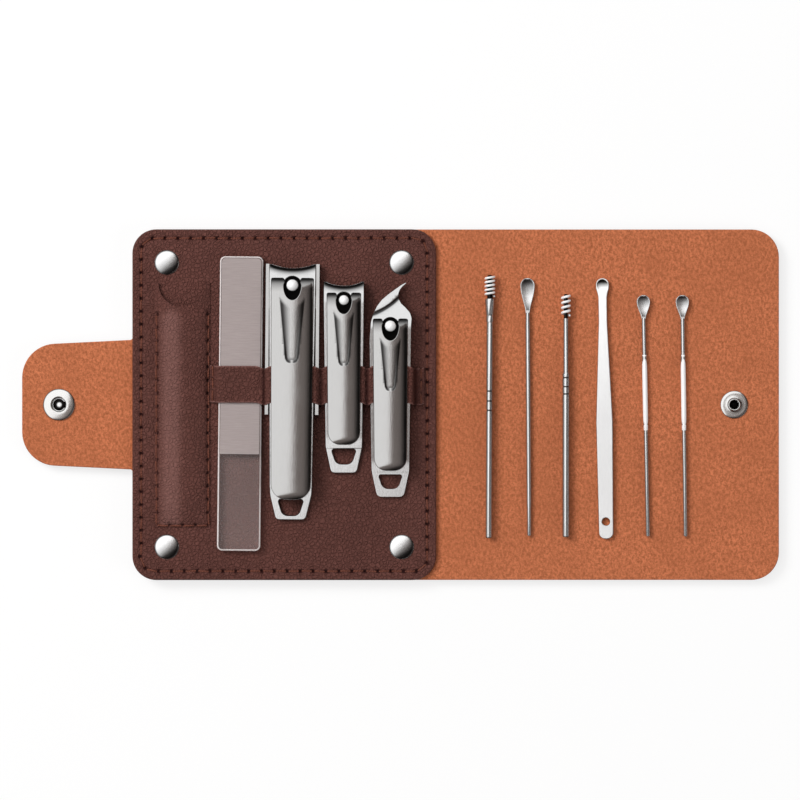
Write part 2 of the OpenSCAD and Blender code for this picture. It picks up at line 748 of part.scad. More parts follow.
// Lever: crowned bar with a fork round the pin, an axle across the fork and a thumb dish
module lever(t, open, ball, w, len, dish) {
    z0 = arm_top(t, open) + lever_lift;
    z_axle = arm_top(t, open) + axle_up;
    crown_r = bow_r(w, lever_crown);
    slot = ball / 2 + 0.4;
    nose = axle_fwd + nose_r;
    low = asin((z_axle - z0) / nose_r);
    difference() {
        intersection() {
            sheet(rounded(mirrored([[-w / 2, nose], [-w * 0.46, -len]]), [0.5, 4.5, 4.5, 0.5]), z0, 3);
            across(concat([[-len - 1, z0]], arc([axle_fwd, z_axle], nose_r, -low, 60, 8),
                          [[axle_fwd - 1, z0 + lever_t + 0.1], [-len - 1, z0 + lever_t + 0.1]]), w + 2);
            translate([0, nose + 1, z0 + lever_t - crown_r])
                rotate([90, 0, 0]) cylinder(r = crown_r, h = len + nose + 3, $fn = 128);
        }
        translate([-slot, -axle_fwd, z0 - 1]) cube([2 * slot, 2 * nose, 4]);
        translate([0, -axle_fwd, z0 - 1]) cylinder(r = slot, h = 4);
        sheet(rounded(mirrored([[-w * 0.29, -slot - axle_fwd - 0.4], [-w * 0.16, -dish]]),
                      [0.6, 1.6, 1.6, 0.6]), z0 + lever_t / 2 + 0.1, 3);
    }
    translate([-slot - seat, axle_fwd, z_axle]) rotate([0, 90, 0])
        cylinder(r = axle_r, h = 2 * (slot + seat));
}

module tail_rivet(t, hinge) {
    translate([0, -hinge, base]) cylinder(r = rivet_r, h = 2 * t + seat);
}

module rivet_hole(hinge, gap) {
    translate([0, -hinge, -1]) cylinder(r = rivet_r + gap, h = 12);
}

module straight_lower(w, t, jaw, tail, hinge, hole) {
    difference() {
        intersection() {
            sheet(arm_pts(w, jaw, tail), -1, 12);
            across(lower_side(t, jaw, tail), w + 2);
        }
        jaw_cut(w, jaw);
        pin_holes(t);
        rivet_hole(hinge, fit);
        tail_hole(tail, hole);
    }
}

module straight_upper(w, t, open, jaw, tail, hinge, ball) {
    difference() {
        intersection() {
            sheet(arm_pts(w, jaw, tail), -1, 12);
            across(upper_side(t, open, jaw, hinge, 0.4, jaw_drop), w + 2);
        }
        jaw_cut(w, jaw);
        translate([0, 0, -1]) cylinder(r = ball / 2 + 0.6, h = 12);
        rivet_hole(hinge, 0.08);
    }
}

// Big clipper
module big() {
    on_panel(big_at, big_y, big_lean) children();
}

module big_lower_arm() {
    color([0.75, 0.75, 0.75]) big()
        straight_lower(big_w, big_arm_t, big_jaw, big_tail, big_hinge, big_hole);
}

module big_upper_arm() {
    color([0.8, 0.8, 0.8]) big()
        straight_upper(big_w, big_arm_t, big_open, big_jaw, big_tail, big_hinge, big_ball);
}

module big_tail_rivet() color([0.6, 0.6, 0.6]) big() tail_rivet(big_arm_t, big_hinge);
module big_pin() color([0.9, 0.9, 0.9]) big() pin(big_arm_t, big_open, big_ball);

module big_lever() {
    color([0.6, 0.58, 0.57]) big()
        lever(big_arm_t, big_open, big_ball, big_lever_w, big_lever, big_dish);
}

// Side guard: two walls beside the arms, tied by a bridge between the arms
bridge = [-7, -3.2];

module big_guard() {
    color([0.65, 0.65, 0.65]) big() {
        for (other = [0, 1]) mirror([other, 0, 0])
            translate([big_w / 2 + seat, big_jaw - 0.2 - guard_l, base])
                cube([guard_t, guard_l, guard_z - base]);
        translate([-big_w / 2 - seat - guard_t / 2, bridge[0], base + big_arm_t + seat / 2])
            cube([big_w + 2 * seat + guard_t, bridge[1] - bridge[0], 0.35]);
    }
}

// Small clipper
module small() {
    on_panel(small_at, small_y, 0) children();
}

module small_lower_arm() {
    color([0.75, 0.75, 0.75]) small()
        straight_lower(small_w, small_arm_t, small_jaw, small_tail, small_hinge, small_hole);
}

module small_upper_arm() {
    color([0.8, 0.8, 0.8]) small()
        straight_upper(small_w, small_arm_t, small_open, small_jaw, small_tail, small_hinge, small_ball);
}

module small_tail_rivet() color([0.6, 0.6, 0.6]) small() tail_rivet(small_arm_t, small_hinge);
module small_pin() color([0.9, 0.9, 0.9]) small() pin(small_arm_t, small_open, small_ball);

module small_lever() {
    color([0.6, 0.58, 0.57]) small()
        lever(small_arm_t, small_open, small_ball, small_lever_w, small_lever, small_dish);
}

// Slant clipper: a hooked beak in place of a straight jaw
module slant() {
    on_panel(slant_at, slant_y, 0) children();
}

slant_pts = let (w = slant_w, b = slant_beak, l = slant_tail) rounded([
    [-w * 0.32, -l], [w * 0.32, -l], [w * 0.455, -(l - tail_taper)], [w * 0.5, 0],
    [w * 0.525, b * 0.18], [w * 0.48, b * 0.37], [w * 0.34, b * 0.5], [w * 0.22, b * 0.61],
    [w * 0.22, b * 0.77], [w * 0.26, b * 0.89], [w * 0.395, b], [w * 0.23, b * 0.965],
    [0, b * 0.84], [-w * 0.25, b * 0.6], [-w * 0.38, b * 0.39], [-w * 0.45, b * 0.17],
    [-w * 0.5, -b * 0.3], [-w * 0.455, -(l - tail_taper)]],
    [1.6, 1.6, 12, 2, 1.5, 1.5, 1, 1, 1, 0.5, 0, 1, 2, 3, 3, 3, 3, 12], 4);

module slant_lower_arm() {
    t = slant_arm_t;
    color([0.75, 0.75, 0.75]) slant() difference() {
        intersection() {
            sheet(slant_pts, -1, 12);
            across([[-slant_tail - 1, base], [2, base], [4, base + 0.7], [slant_beak, base + 0.9],
                    [slant_beak, base + t + 0.3], [4, base + t + 0.3], [2, base + t],
                    [-slant_tail - 1, base + t]], 2 * slant_w);
        }
        pin_holes(t);
        rivet_hole(slant_hinge, fit);
        tail_hole(slant_tail, slant_hole);
    }
}

module slant_upper_arm() {
    t = slant_arm_t;
    z = base + t + slant_open;
    color([0.8, 0.8, 0.8]) slant() difference() {
        intersection() {
            sheet(slant_pts, -1, 12);
            across([[-slant_hinge - 3.5, base + t + seat], [-slant_hinge, base + t + seat], [0, z],
                    [slant_beak, z - beak_drop], [slant_beak, z - beak_drop + 0.5],
                    [1.2, z + t - 0.05], [0, z + t], [-slant_hinge, base + 2 * t + seat],
                    [-slant_hinge - 3.5, base + 2 * t + seat]], 2 * slant_w);
        }
        translate([0, 0, -1]) cylinder(r = slant_ball / 2 + 0.5, h = 12);
        rivet_hole(slant_hinge, 0.08);
    }
}

module slant_tail_rivet() color([0.6, 0.6, 0.6]) slant() tail_rivet(slant_arm_t, slant_hinge);
module slant_pin() color([0.9, 0.9, 0.9]) slant() pin(slant_arm_t, slant_open, slant_ball);

module slant_lever() {
    color([0.6, 0.58, 0.57]) slant()
        lever(slant_arm_t, slant_open, slant_ball, slant_lever_w, slant_lever, slant_dish);
}

// Ear picks on the cover's suede: distance from the fold, height of the tip, length, lean
coil_at = [2.3, 40.5, 82.2, -0.26];
large_at = [14.05, 39.6, 80.6, 0.4];
spiral_at = [26.05, 34.6, 76, 0];
flat_at = [37.45, 39.6, 81.6, 0.88];
narrow_at = [50.25, 34.3, 75.5, 1.14];
slim_at = [62.45, 34.3, 75.5, 0.8];

// Places a pick whose tip is at the origin and whose rod runs along -Y, its axis at a height
module on_suede(at, axis_z = 0) {
    translate([x_fold_cover + at[0], at[1], z_suede + seat / 2 + axis_z])
        rotate([0, 0, at[3]]) children();
}

groove = 0.15;
groove_l = 0.5;
coil_grooves = [36.5, 39.6, 42.5];
spiral_grooves = [26.4, 29.2, 31.5];
function grooved(r, s, w) = [[r, s - w], [r - groove, s - w], [r - groove, s], [r, s]];

coil_wire = 0.35;
coil_turns = 5;
coil_pitch = 1.22;
spiral_wire = 0.4;
spiral_turns = 4;
spiral_pitch = 1.55;
wire_start = 0.5;

// Where a rod's head begins, below its winding
function wound(turns, pitch, wire) = wire_start + turns * pitch + 2 * wire + seat;

// The core inside a winding of eight straight runs a turn, which come nearer than its round does
function core_r(d, wire) = (d / 2 - wire) * cos(22.5) - wire - seat / 2;

module coil_pick_rod() {
    r = rod_d / 2;
    core = core_r(coil_pick_d, coil_wire);
    head = wound(coil_turns, coil_pitch, coil_wire);
    color([0.75, 0.75, 0.75]) on_suede(coil_at, coil_pick_d / 2) turned(concat(
        [[0, 0], [core - 0.2, 0], [core, 0.2], [core, head], [r + 0.5, head], [r + 0.25, head + 5],
         [r + 0.15, head + 5], [r + 0.15, head + 7.4], [r, head + 7.4]],
        [for (s = coil_grooves) each grooved(r, s, groove_l)],
        [[r, coil_at[2]], [0, coil_at[2]]]));
}

// A helical wire round a straight core: rings of six sides along one unbroken path
function helix_at(a, r, pitch, s0) = [r * cos(a), -(s0 + pitch * a / 360), r * sin(a)];

module helix_wire(r, wire, pitch, turns, s0) {
    steps = 8 * turns;
    path = [for (i = [0:steps]) helix_at(i * 45, r, pitch, s0)];
    first = toward(path[0] - path[1]) * 2 * wire;
    last = toward(path[steps] - path[steps - 1]) * 2 * wire;
    spine = concat([path[0] + first], path, [path[steps] + last]);
    n = len(spine);
    rings = [
        for (i = [0:n - 1])
            let (
                d = toward(spine[min(i + 1, n - 1)] - spine[max(i - 1, 0)]),
                u = toward([spine[i].x, 0, spine[i].z]),
                v = toward(cross(d, u)),
                w = cross(v, d)
            )
            for (k = [0:5]) spine[i] + wire * (w * cos(60 * k) + v * sin(60 * k))
    ];
    sides = [
        for (i = [0:n - 2], k = [0:5])
            let (a = 6 * i + k, b = 6 * i + (k + 1) % 6)
            each [[a, b, a + 6], [b, b + 6, a + 6]]
    ];
    caps = [for (k = [1:4]) [0, k + 1, k], for (k = [1:4]) [6 * n - 6, 6 * n - 6 + k, 6 * n - 5 + k]];
    polyhedron(rings, concat(sides, caps));
}

// The least gap between neighbouring turns, measured between the path's own points
function turn_gap(r, wire, pitch, turns) =
    min([for (i = [0:8 * turns], j = [0:8 * turns]) if (j - i > 4)
        norm(helix_at(i * 45, r, pitch, 0) - helix_at(j * 45, r, pitch, 0))]) - 2 * wire;

coil_r = coil_pick_d / 2 - coil_wire;
spiral_r = spiral_pick_d / 2 - spiral_wire;
echo(coil_least_gap = turn_gap(coil_r, coil_wire, coil_pitch, coil_turns));
echo(spiral_least_gap = turn_gap(spiral_r, spiral_wire, spiral_pitch, spiral_turns));

module coil_pick_coil() {
    color([0.8, 0.8, 0.8]) on_suede(coil_at, coil_pick_d / 2)
        helix_wire(coil_r, coil_wire, coil_pitch, coil_turns, wire_start);
}

module spiral_pick_rod() {
    r = rod_d / 2 + 0.1;
    core = core_r(spiral_pick_d, spiral_wire);
    head = wound(spiral_turns, spiral_pitch, spiral_wire);
    color([0.7, 0.7, 0.7]) on_suede(spiral_at, spiral_pick_d / 2) turned(concat(
        [[0, 0], [core - 0.2, 0], [core, 0.2], [core, head], [r - 0.3, head], [r - 0.3, 24.5], [r, 25]],
        [for (s = spiral_grooves) each grooved(r, s, groove_l)],
        [[r, spiral_at[2]], [0, spiral_at[2]]]));
}

module spiral_pick_coil() {
    color([0.8, 0.8, 0.8]) on_suede(spiral_at, spiral_pick_d / 2)
        helix_wire(spiral_r, spiral_wire, spiral_pitch, spiral_turns, wire_start);
}

// A spoon's bowl: a rounded blade with a round dish in it
module bowl(w, l, neck_r) {
    dish_r = bow_r(w - 0.8, spoon_t - 0.5);
    difference() {
        sheet(rounded([[-w / 2, 0], [w / 2, 0], [w / 2, -l * 0.35], [neck_r, -l], [-neck_r, -l],
                       [-w / 2, -l * 0.35]], [w * 0.48, w * 0.48, w * 0.6, 0, 0, w * 0.6]), 0, spoon_t);
        translate([0, -w * 0.52, 0.5 + dish_r]) sphere(r = dish_r, $fn = 64);
    }
}

module spoon_pick(at, w, l, waist) {
    neck_r = spoon_rod_d / 2;
    rod_r = neck_r;
    on_suede(at) {
        bowl(w, l, neck_r);
        translate([0, -l + 0.2, max(rod_r, spoon_t / 2)]) turned([
            [0, 0], [neck_r * 0.85, 0], [neck_r * 0.85, waist[0]], [rod_r, waist[0] + 1],
            [rod_r, waist[1]], [rod_r * 0.85, waist[1] + 1], [rod_r * 0.85, at[2] - l],
            [0, at[2] - l]]);
    }
}

module large_spoon_pick() color([0.8, 0.8, 0.8])
    spoon_pick(large_at, large_bowl_w, large_bowl_l, large_waist);

module narrow_spoon_pick() color([0.8, 0.8, 0.8])
    spoon_pick(narrow_at, small_bowl_w, small_bowl_l, small_waist);

module slim_spoon_pick() color([0.8, 0.8, 0.8])
    spoon_pick(slim_at, small_bowl_w, small_bowl_l, small_waist);

large_waist = [2, 60];
small_waist = [11, 33];
flat_head = 4.1;
flat_neck = 2.7;
flat_wide = 5.2;
hang_s = 76.2;

module flat_spoon_pick() {
    l = flat_at[2];
    dish_r = bow_r(flat_head - 0.8, flat_t - 0.4);
    color([0.85, 0.85, 0.85]) on_suede(flat_at) difference() {
        sheet(rounded(mirrored([[-flat_head / 2, 0], [-flat_head / 2, -flat_head * 0.8],
                                [-flat_neck / 2, -5.5], [-flat_neck / 2, -14], [-flat_wide / 2, -45],
                                [-flat_wide * 0.43, -l]]),
                      [2, 2, 1.5, 8, 8, 2, 2, 8, 8, 1.5, 2, 2]), 0, flat_t);
        translate([0, -flat_head / 2, 0.4 + dish_r]) sphere(r = dish_r, $fn = 64);
        translate([0, -hang_s, -1]) cylinder(d = hang_d, h = flat_t + 2);
    }
}

tab_flap_leather();
tab_flap_lining();
tab_riser_leather();
tab_riser_lining();
back_leather();
back_lining();
spine_leather();
spine_lining();
cover_leather();
cover_lining();
panel_board();
panel_face();
pocket_front();
seam_thread();
pocket_thread();
strap_thread();
strap();
rivet_caps();
rivet_posts();
snap_cap();
snap_socket();
snap_spring();
snap_post();
snap_stud();
nail_file();
file_grit();
big_lower_arm();
big_upper_arm();
big_tail_rivet();
big_pin();
big_lever();
big_guard();
small_lower_arm();
small_upper_arm();
small_tail_rivet();
small_pin();
small_lever();
slant_lower_arm();
slant_upper_arm();
slant_tail_rivet();
slant_pin();
slant_lever();
coil_pick_rod();
coil_pick_coil();
large_spoon_pick();
spiral_pick_rod();
spiral_pick_coil();
flat_spoon_pick();
narrow_spoon_pick();
slim_spoon_pick();
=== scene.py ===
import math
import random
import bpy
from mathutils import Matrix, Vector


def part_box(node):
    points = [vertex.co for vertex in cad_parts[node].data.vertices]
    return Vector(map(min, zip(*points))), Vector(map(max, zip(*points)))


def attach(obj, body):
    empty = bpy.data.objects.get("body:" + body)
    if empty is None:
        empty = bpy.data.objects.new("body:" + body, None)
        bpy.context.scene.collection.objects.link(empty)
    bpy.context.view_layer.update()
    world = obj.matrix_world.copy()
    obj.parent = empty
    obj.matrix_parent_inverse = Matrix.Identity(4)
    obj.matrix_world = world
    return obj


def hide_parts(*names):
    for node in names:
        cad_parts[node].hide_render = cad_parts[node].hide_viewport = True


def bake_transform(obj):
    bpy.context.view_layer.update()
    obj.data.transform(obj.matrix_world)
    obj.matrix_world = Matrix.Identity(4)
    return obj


bl_info = {
    "name": "Manicure Case",
    "version": (1, 0, 0),
    "blender": (4, 5, 0),
    "location": "View3D > Sidebar > Case",
    "description": "Dresses a snap-closed leather manicure case and its tools",
    "category": "Object",
}

import bmesh
import bpy
import numpy as np
from bpy.props import FloatProperty, FloatVectorProperty, PointerProperty
from mathutils import Matrix, Vector, geometry, kdtree

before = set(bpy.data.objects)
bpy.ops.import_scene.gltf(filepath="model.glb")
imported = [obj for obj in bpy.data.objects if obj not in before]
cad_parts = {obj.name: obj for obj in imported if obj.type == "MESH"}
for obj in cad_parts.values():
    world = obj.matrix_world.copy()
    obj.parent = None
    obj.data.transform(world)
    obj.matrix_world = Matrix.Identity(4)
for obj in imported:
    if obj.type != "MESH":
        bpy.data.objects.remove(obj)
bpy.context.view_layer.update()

MM = 0.001


def node_box(name):
    """A CAD node's lowest and highest corners, in millimetres."""
    low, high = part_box(name)
    return low / MM, high / MM


# ---------------------------------------------------------------- levels and lines, in millimetres

BACK_LOW, BACK_HIGH = node_box("back_leather")
TAB_LOW, TAB_HIGH = node_box("tab_flap_leather")
COVER_LOW, COVER_HIGH = node_box("cover_leather")
PANEL_LOW, PANEL_HIGH = node_box("panel_face")
SUEDE_LOW, SUEDE_HIGH = node_box("cover_lining")

SLIT = 0.075
HALF_H = BACK_HIGH.y
X_END = TAB_LOW.x
X_FLAP = TAB_HIGH.x + SLIT
X_TAB = BACK_LOW.x - SLIT
X_SPINE = BACK_HIGH.x + SLIT
X_COVER = COVER_LOW.x - SLIT
X_LAST = COVER_HIGH.x
Z_LEATHER = BACK_LOW.z
Z_LINING = SUEDE_LOW.z
Z_SUEDE = SUEDE_HIGH.z
Z_TOP = PANEL_HIGH.z
PANEL_MID = (PANEL_LOW.x + PANEL_HIGH.x) / 2


# ---------------------------------------------------------------- shader kit

class Val:
    """A node socket that Python's operators work on."""

    def __init__(self, kit, socket):
        self.kit = kit
        self.socket = socket

    def _math(self, operation, a, b):
        return self.kit.add("ShaderNodeMath", {"operation": operation}, a, b)

    def __add__(self, other):
        return self._math("ADD", self, other)

    __radd__ = __add__

    def __mul__(self, other):
        return self._math("MULTIPLY", self, other)

    __rmul__ = __mul__

    def __sub__(self, other):
        return self._math("SUBTRACT", self, other)

    def __rsub__(self, other):
        return self._math("SUBTRACT", other, self)

    def ease(self, low, high, out_low=0.0, out_high=1.0):
        """Smoothly from out_low at low to out_high at high."""
        return self.kit.add("ShaderNodeMapRange", {"interpolation_type": "SMOOTHSTEP"},
                            self, low, high, out_low, out_high)


class Kit:
    """Adds nodes to one tree."""

    def __init__(self, tree):
        self.tree = tree

    def add(self, kind, settings=None, *values, out=0, **named):
        """Any node: its settings first, then the values or links of its sockets."""
        node = self.tree.nodes.new(kind)
        for key, value in (settings or {}).items():
            setattr(node, key, value)
        pairs = list(enumerate(values)) + [(k.replace("_", " "), v) for k, v in named.items()]
        for key, value in pairs:
            self.put(node.inputs[key], value)
        return Val(self, node.outputs[out])

    def put(self, socket, value):
        """A link where the value varies, or else the socket's own value."""
        if isinstance(value, Val):
            self.tree.links.new(value.socket, socket)
        elif socket.type == "RGBA":
            socket.default_value = (*value[:3], 1.0)
        else:
            socket.default_value = value

    def between(self, factor, a, b):
        """From colour a to colour b."""
        node = self.tree.nodes.new("ShaderNodeMix")
        node.data_type = "RGBA"
        for index, value in ((0, factor), (6, a), (7, b)):
            self.put(node.inputs[index], value)
        return Val(self, node.outputs[2])

    def place(self, stretch=(1.0, 1.0, 1.0), turn=(0.0, 0.0, 0.0)):
        """Object coordinates in millimetres, stretched and turned."""
        coords = self.add("ShaderNodeTexCoord", out=3)
        return self.add("ShaderNodeMapping", {"vector_type": "POINT"}, coords,
                        Rotation=turn, Scale=tuple(s / MM for s in stretch))

    def noise(self, where, scale, detail=3.0, rough=0.55, out=0):
        return self.add("ShaderNodeTexNoise", None, Vector=where, Scale=scale, Detail=detail,
                        Roughness=rough, out=out)

    def creases(self, where, scale):
        """How far a place is from the edge of its cell."""
        return self.add("ShaderNodeTexVoronoi", {"feature": "DISTANCE_TO_EDGE"}, Vector=where,
                        Scale=scale)

    def mark(self, name):
        """A number kept on the mesh's points."""
        return self.add("ShaderNodeAttribute", {"attribute_name": name}, out=2)

    def bump(self, height, depth):
        """A Bump node for a height in millimetres."""
        return self.add("ShaderNodeBump", None, Strength=depth, Distance=MM, Height=height)


def shade(red, green, blue):
    """A colour as a screen shows it, 0 to 255, for a shader."""
    return tuple(c / 255 / 12.92 if c <= 10 else ((c / 255 + 0.055) / 1.055) ** 2.4
                 for c in (red, green, blue))


class Finish:
    """A material under construction: its kit and its main shader."""

    def __init__(self, name):
        self.material = bpy.data.materials.new(name)
        self.material.use_nodes = True
        tree = self.material.node_tree
        self.kit = Kit(tree)
        self.shader = next(n for n in tree.nodes if n.type == "BSDF_PRINCIPLED")

    def feed(self, **sockets):
        """Sets the shader's own sockets, or links what changes over the surface."""
        for key, value in sockets.items():
            self.kit.put(self.shader.inputs[key.replace("_", " ")], value)
        return self.material


# ---------------------------------------------------------------- mesh kit, in millimetres

def limit(t):
    """No less than 0 and no more than 1."""
    return np.clip(t, 0, 1)


def smooth(t):
    """From 0 to 1, with a level start and a level end."""
    t = limit(t)
    return t * t * (3 - 2 * t)


def left_of(v):
    return np.stack([-v[:, 1], v[:, 0]], 1)


def unit(v):
    return v / np.maximum(np.linalg.norm(v, axis=1, keepdims=True), 1e-9)


def inset(loop, d):
    """A closed loop moved by d to the left of its heading."""
    p = np.asarray(loop, float)
    a = left_of(unit(p - np.roll(p, 1, 0)))
    b = left_of(unit(np.roll(p, -1, 0) - p))
    return p + d * (a + b) / np.maximum(1 + (a * b).sum(1, keepdims=True), 0.35)


def arc(mid, r, start, end, n):
    """Points on an arc, angles in degrees."""
    return [(mid[0] + r * math.cos(math.radians(start + (end - start) * i / n)),
             mid[1] + r * math.sin(math.radians(start + (end - start) * i / n)))
            for i in range(n + 1)]


def hole_loop(mid, r, n=40):
    """A round hole, clockwise."""
    return arc(mid, r, 360, 360 / n, n - 1)


def rounded(corners, radii, n=8):
    """An outline whose corners are rounded, each with its own radius."""
    out = []
    for i, b in enumerate(corners):
        a, c, r = corners[i - 1], corners[(i + 1) % len(corners)], radii[i]
        if r <= 0:
            out.append(tuple(b))
            continue
        b = Vector(b)
        u, v = (Vector(a) - b).normalized(), (Vector(c) - b).normalized()
        half = u.angle(v) / 2
        mid = b + (u + v).normalized() * r / math.sin(half)
        p, q = b + u * r / math.tan(half) - mid, b + v * r / math.tan(half) - mid
        first = math.atan2(p.y, p.x)
        sweep = (math.atan2(q.y, q.x) - first + 3 * math.pi) % (2 * math.pi) - math.pi
        out += [(mid.x + r * math.cos(first + sweep * k / n),
                 mid.y + r * math.sin(first + sweep * k / n)) for k in range(n + 1)]
    return out


def box_loop(x0, x1, y0, y1):
    return [(x0, y0), (x1, y0), (x1, y1), (x0, y1)]


def spaced(loop, step, closed=True):
    """A line's points at about even spacing, its corners kept."""
    p = [Vector(q) for q in loop]
    out = []
    ends = list(zip(p, p[1:] + p[:1])) if closed else list(zip(p, p[1:]))
    for a, b in ends:
        n = max(1, round((b - a).length / step))
        out += [tuple(a.lerp(b, k / n)) for k in range(n)]
    return out if closed else out + [tuple(p[-1])]


def inside(loops, pts):
    """Whether each point lies within the loops, by counting crossings."""
    p = np.asarray(pts, float)
    odd = np.zeros(len(p), bool)
    for loop in loops:
        a = np.asarray(loop, float)
        b = np.roll(a, -1, 0)
        for (x0, y0), (x1, y1) in zip(a, b):
            if y0 != y1:
                hit = (y0 > p[:, 1]) != (y1 > p[:, 1])
                odd ^= hit & (p[:, 0] < (x1 - x0) * (p[:, 1] - y0) / (y1 - y0) + x0)
    return odd


def grid_in(loops, step, margin):
    """Points of a square grid within the loops, off their edges by about the margin."""
    outer = np.asarray(loops[0], float)
    low, high = outer.min(0), outer.max(0)
    nx, ny = (max(2, int((h - l) / s)) for l, h, s in zip(low, high, step))
    x, y = np.meshgrid(np.linspace(low[0], high[0], nx), np.linspace(low[1], high[1], ny))
    pts = np.stack([x.ravel(), y.ravel()], 1)
    return pts[inside([inset(loop, margin) for loop in loops], pts)]


def fill(loops, lines, dots):
    """Triangles between the loops, through the lines and the dots.
    Gives the points, the triangles, and where each loop point went."""
    pts, edges = [], []
    for loop in loops:
        base, n = len(pts), len(loop)
        pts += [tuple(p) for p in loop]
        edges += [(base + i, base + (i + 1) % n) for i in range(n)]
    held = len(pts)
    for line in lines:
        base = len(pts)
        pts += [tuple(p) for p in line]
        edges += [(base + i, base + i + 1) for i in range(len(line) - 1)]
    pts += [tuple(p) for p in dots]
    out, sides, tris, origin, came_from, _ = geometry.delaunay_2d_cdt(
        [Vector(p) for p in pts], edges, [], 0, 1e-6)
    xy = np.array([tuple(p) for p in out])
    walls = {frozenset(side) for side, olds in zip(sides, came_from)
             if any(old < held for old in olds)}
    place = {old: new for new, olds in enumerate(origin) for old in olds}
    return xy, np.array(within(tris, walls)), [place[i] for i in range(held)]


def within(tris, walls):
    """The triangles that an odd number of walls shuts in."""
    beside = {}
    for t, tri in enumerate(tris):
        for k in range(3):
            beside.setdefault(frozenset((tri[k], tri[k - 1])), []).append(t)
    shut = {ts[0]: side in walls for side, ts in beside.items() if len(ts) == 1}
    queue = list(shut)
    while queue:
        t = queue.pop()
        for k in range(3):
            side = frozenset((tris[t][k], tris[t][k - 1]))
            for other in beside[side]:
                if other not in shut:
                    shut[other] = shut[t] ^ (side in walls)
                    queue.append(other)
    return [tri for t, tri in enumerate(tris) if shut.get(t)]


# How far in from a plate's outline each row of points runs, as a share of the edge's radius.
ROUND = (0.0, 0.12, 0.32, 0.62, 1.0, 1.25)


def laid(points, at, turn, level):
    """Points from a tool's own frame, turned, moved to its place and lifted to its level."""
    p = np.array(points, float)
    c, s = math.cos(turn), math.sin(turn)
    return np.column_stack([at[0] + p[:, 0] * c - p[:, 1] * s, at[1] + p[:, 0] * s + p[:, 1] * c,
                            level + p[:, 2]])


def plate(outline, top, bottom, holes=(), edge=0.2, low_edge=None, step=(2.0, 2.0), lines=(),
          dots=(), margin=0.3):
    """A closed plate with rounded edges: (points, faces, how near each point is to the edge).
    The outline runs anticlockwise and the holes clockwise.
    top and bottom are heights, or functions of x and y."""
    low_edge = edge if low_edge is None else low_edge
    loops = [np.asarray(loop, float) for loop in (outline, *holes)]
    inner = [inset(loop, ROUND[-1] * edge) for loop in loops]
    dots = np.asarray(dots, float).reshape(-1, 2)
    dots = dots[inside([inset(loop, 0.05) for loop in inner], dots)]
    xy, tris, ring = fill(inner, lines, np.concatenate([dots, grid_in(inner, step, margin)]))

    def height(surface, p):
        return surface(p[:, 0], p[:, 1]) if callable(surface) else np.full(len(p), float(surface))

    count = len(xy)
    points = [np.column_stack([xy, height(top, xy)]), np.column_stack([xy, height(bottom, xy)])]
    near = [np.zeros(count), np.zeros(count)]
    faces = tris.tolist() + (tris[:, ::-1] + count).tolist()
    total, used = 2 * count, 0
    for loop in loops:
        n = len(loop)
        rows = [np.array(ring[used:used + n])]
        used += n
        for surface, sign, r, fractions in (
                (top, -1, edge, ROUND[-2::-1]), (bottom, 1, low_edge, ROUND[:-1])):
            for f in fractions:
                p = inset(loop, f * edge)
                z = height(surface, p) + sign * r * (1 - math.sqrt(max(0.0, 1 - (1 - f) ** 2)))
                points.append(np.column_stack([p, z]))
                near.append(np.full(n, 1 - f))
                rows.append(total + np.arange(n))
                total += n
        rows.append(rows[0] + count)
        for a, b in zip(rows, rows[1:]):
            a2, b2 = np.roll(a, -1), np.roll(b, -1)
            faces += np.stack([a, b, b2, a2], 1).tolist()
    return np.concatenate(points), faces, np.concatenate(near)


def mesh_of(name, points, faces, **marks):
    """A smooth mesh from points in millimetres, with its marks on the points."""
    mesh = bpy.data.meshes.new(name)
    mesh.from_pydata((np.asarray(points, float) * MM).tolist(), [], faces)
    for key, values in marks.items():
        mesh.attributes.new(key, "FLOAT", "POINT").data.foreach_set(
            "value", np.asarray(values, np.float32))
    mesh.shade_smooth()
    mesh.validate()
    return mesh


def piece(name, mesh, finish, body=None, replaces=()):
    """Puts a mesh in the scene as a piece of the object, which rides on its body."""
    obj = bpy.data.objects.new(name, mesh)
    bpy.context.scene.collection.objects.link(obj)
    if finish is not None:
        mesh.materials.clear()
        mesh.materials.append(finish)
    if body:
        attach(obj, body)
    if replaces:
        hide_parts(*replaces)
    return obj


def show(name, made, finish, body, slot, nodes=(), **marks):
    """A piece from (points, faces) or (points, faces, near), with its marks."""
    if len(made) == 3:
        marks["near"] = made[2]
    return piece(name, mesh_of(name, made[0], made[1], **marks), FINISHES[finish], body,
                 nodes)


def turned(profile, mid, sides=48):
    """A shape turned about a vertical line at mid, from (radius, height) points, foot first."""
    points, faces, rows = [], [], []
    for r, z in profile:
        if r < 1e-6:
            rows.append([len(points)])
            points.append((mid[0], mid[1], z))
        else:
            rows.append(list(range(len(points), len(points) + sides)))
            points += [(mid[0] + r * math.cos(2 * math.pi * k / sides),
                        mid[1] + r * math.sin(2 * math.pi * k / sides), z) for k in range(sides)]
    for a, b in zip(rows, rows[1:]):
        for k in range(sides):
            j = (k + 1) % sides
            if len(a) == 1:
                faces.append((a[0], b[j], b[k]))
            elif len(b) == 1:
                faces.append((a[k], a[j], b[0]))
            else:
                faces.append((a[k], a[j], b[j], b[k]))
    return points, faces


def rings(rows, n):
    """The faces of a closed tube whose points are rows of n."""
    faces = [(i * n + k, i * n + (k + 1) % n, (i + 1) * n + (k + 1) % n, (i + 1) * n + k)
             for i in range(rows - 1) for k in range(n)]
    return faces + [tuple(range(n))[::-1], tuple((rows - 1) * n + k for k in range(n))]


def turn_out(mesh):
    """Every face's normal outward."""
    bm = bmesh.new()
    bm.from_mesh(mesh)
    bmesh.ops.recalc_face_normals(bm, faces=bm.faces)
    bm.to_mesh(mesh)
    bm.free()


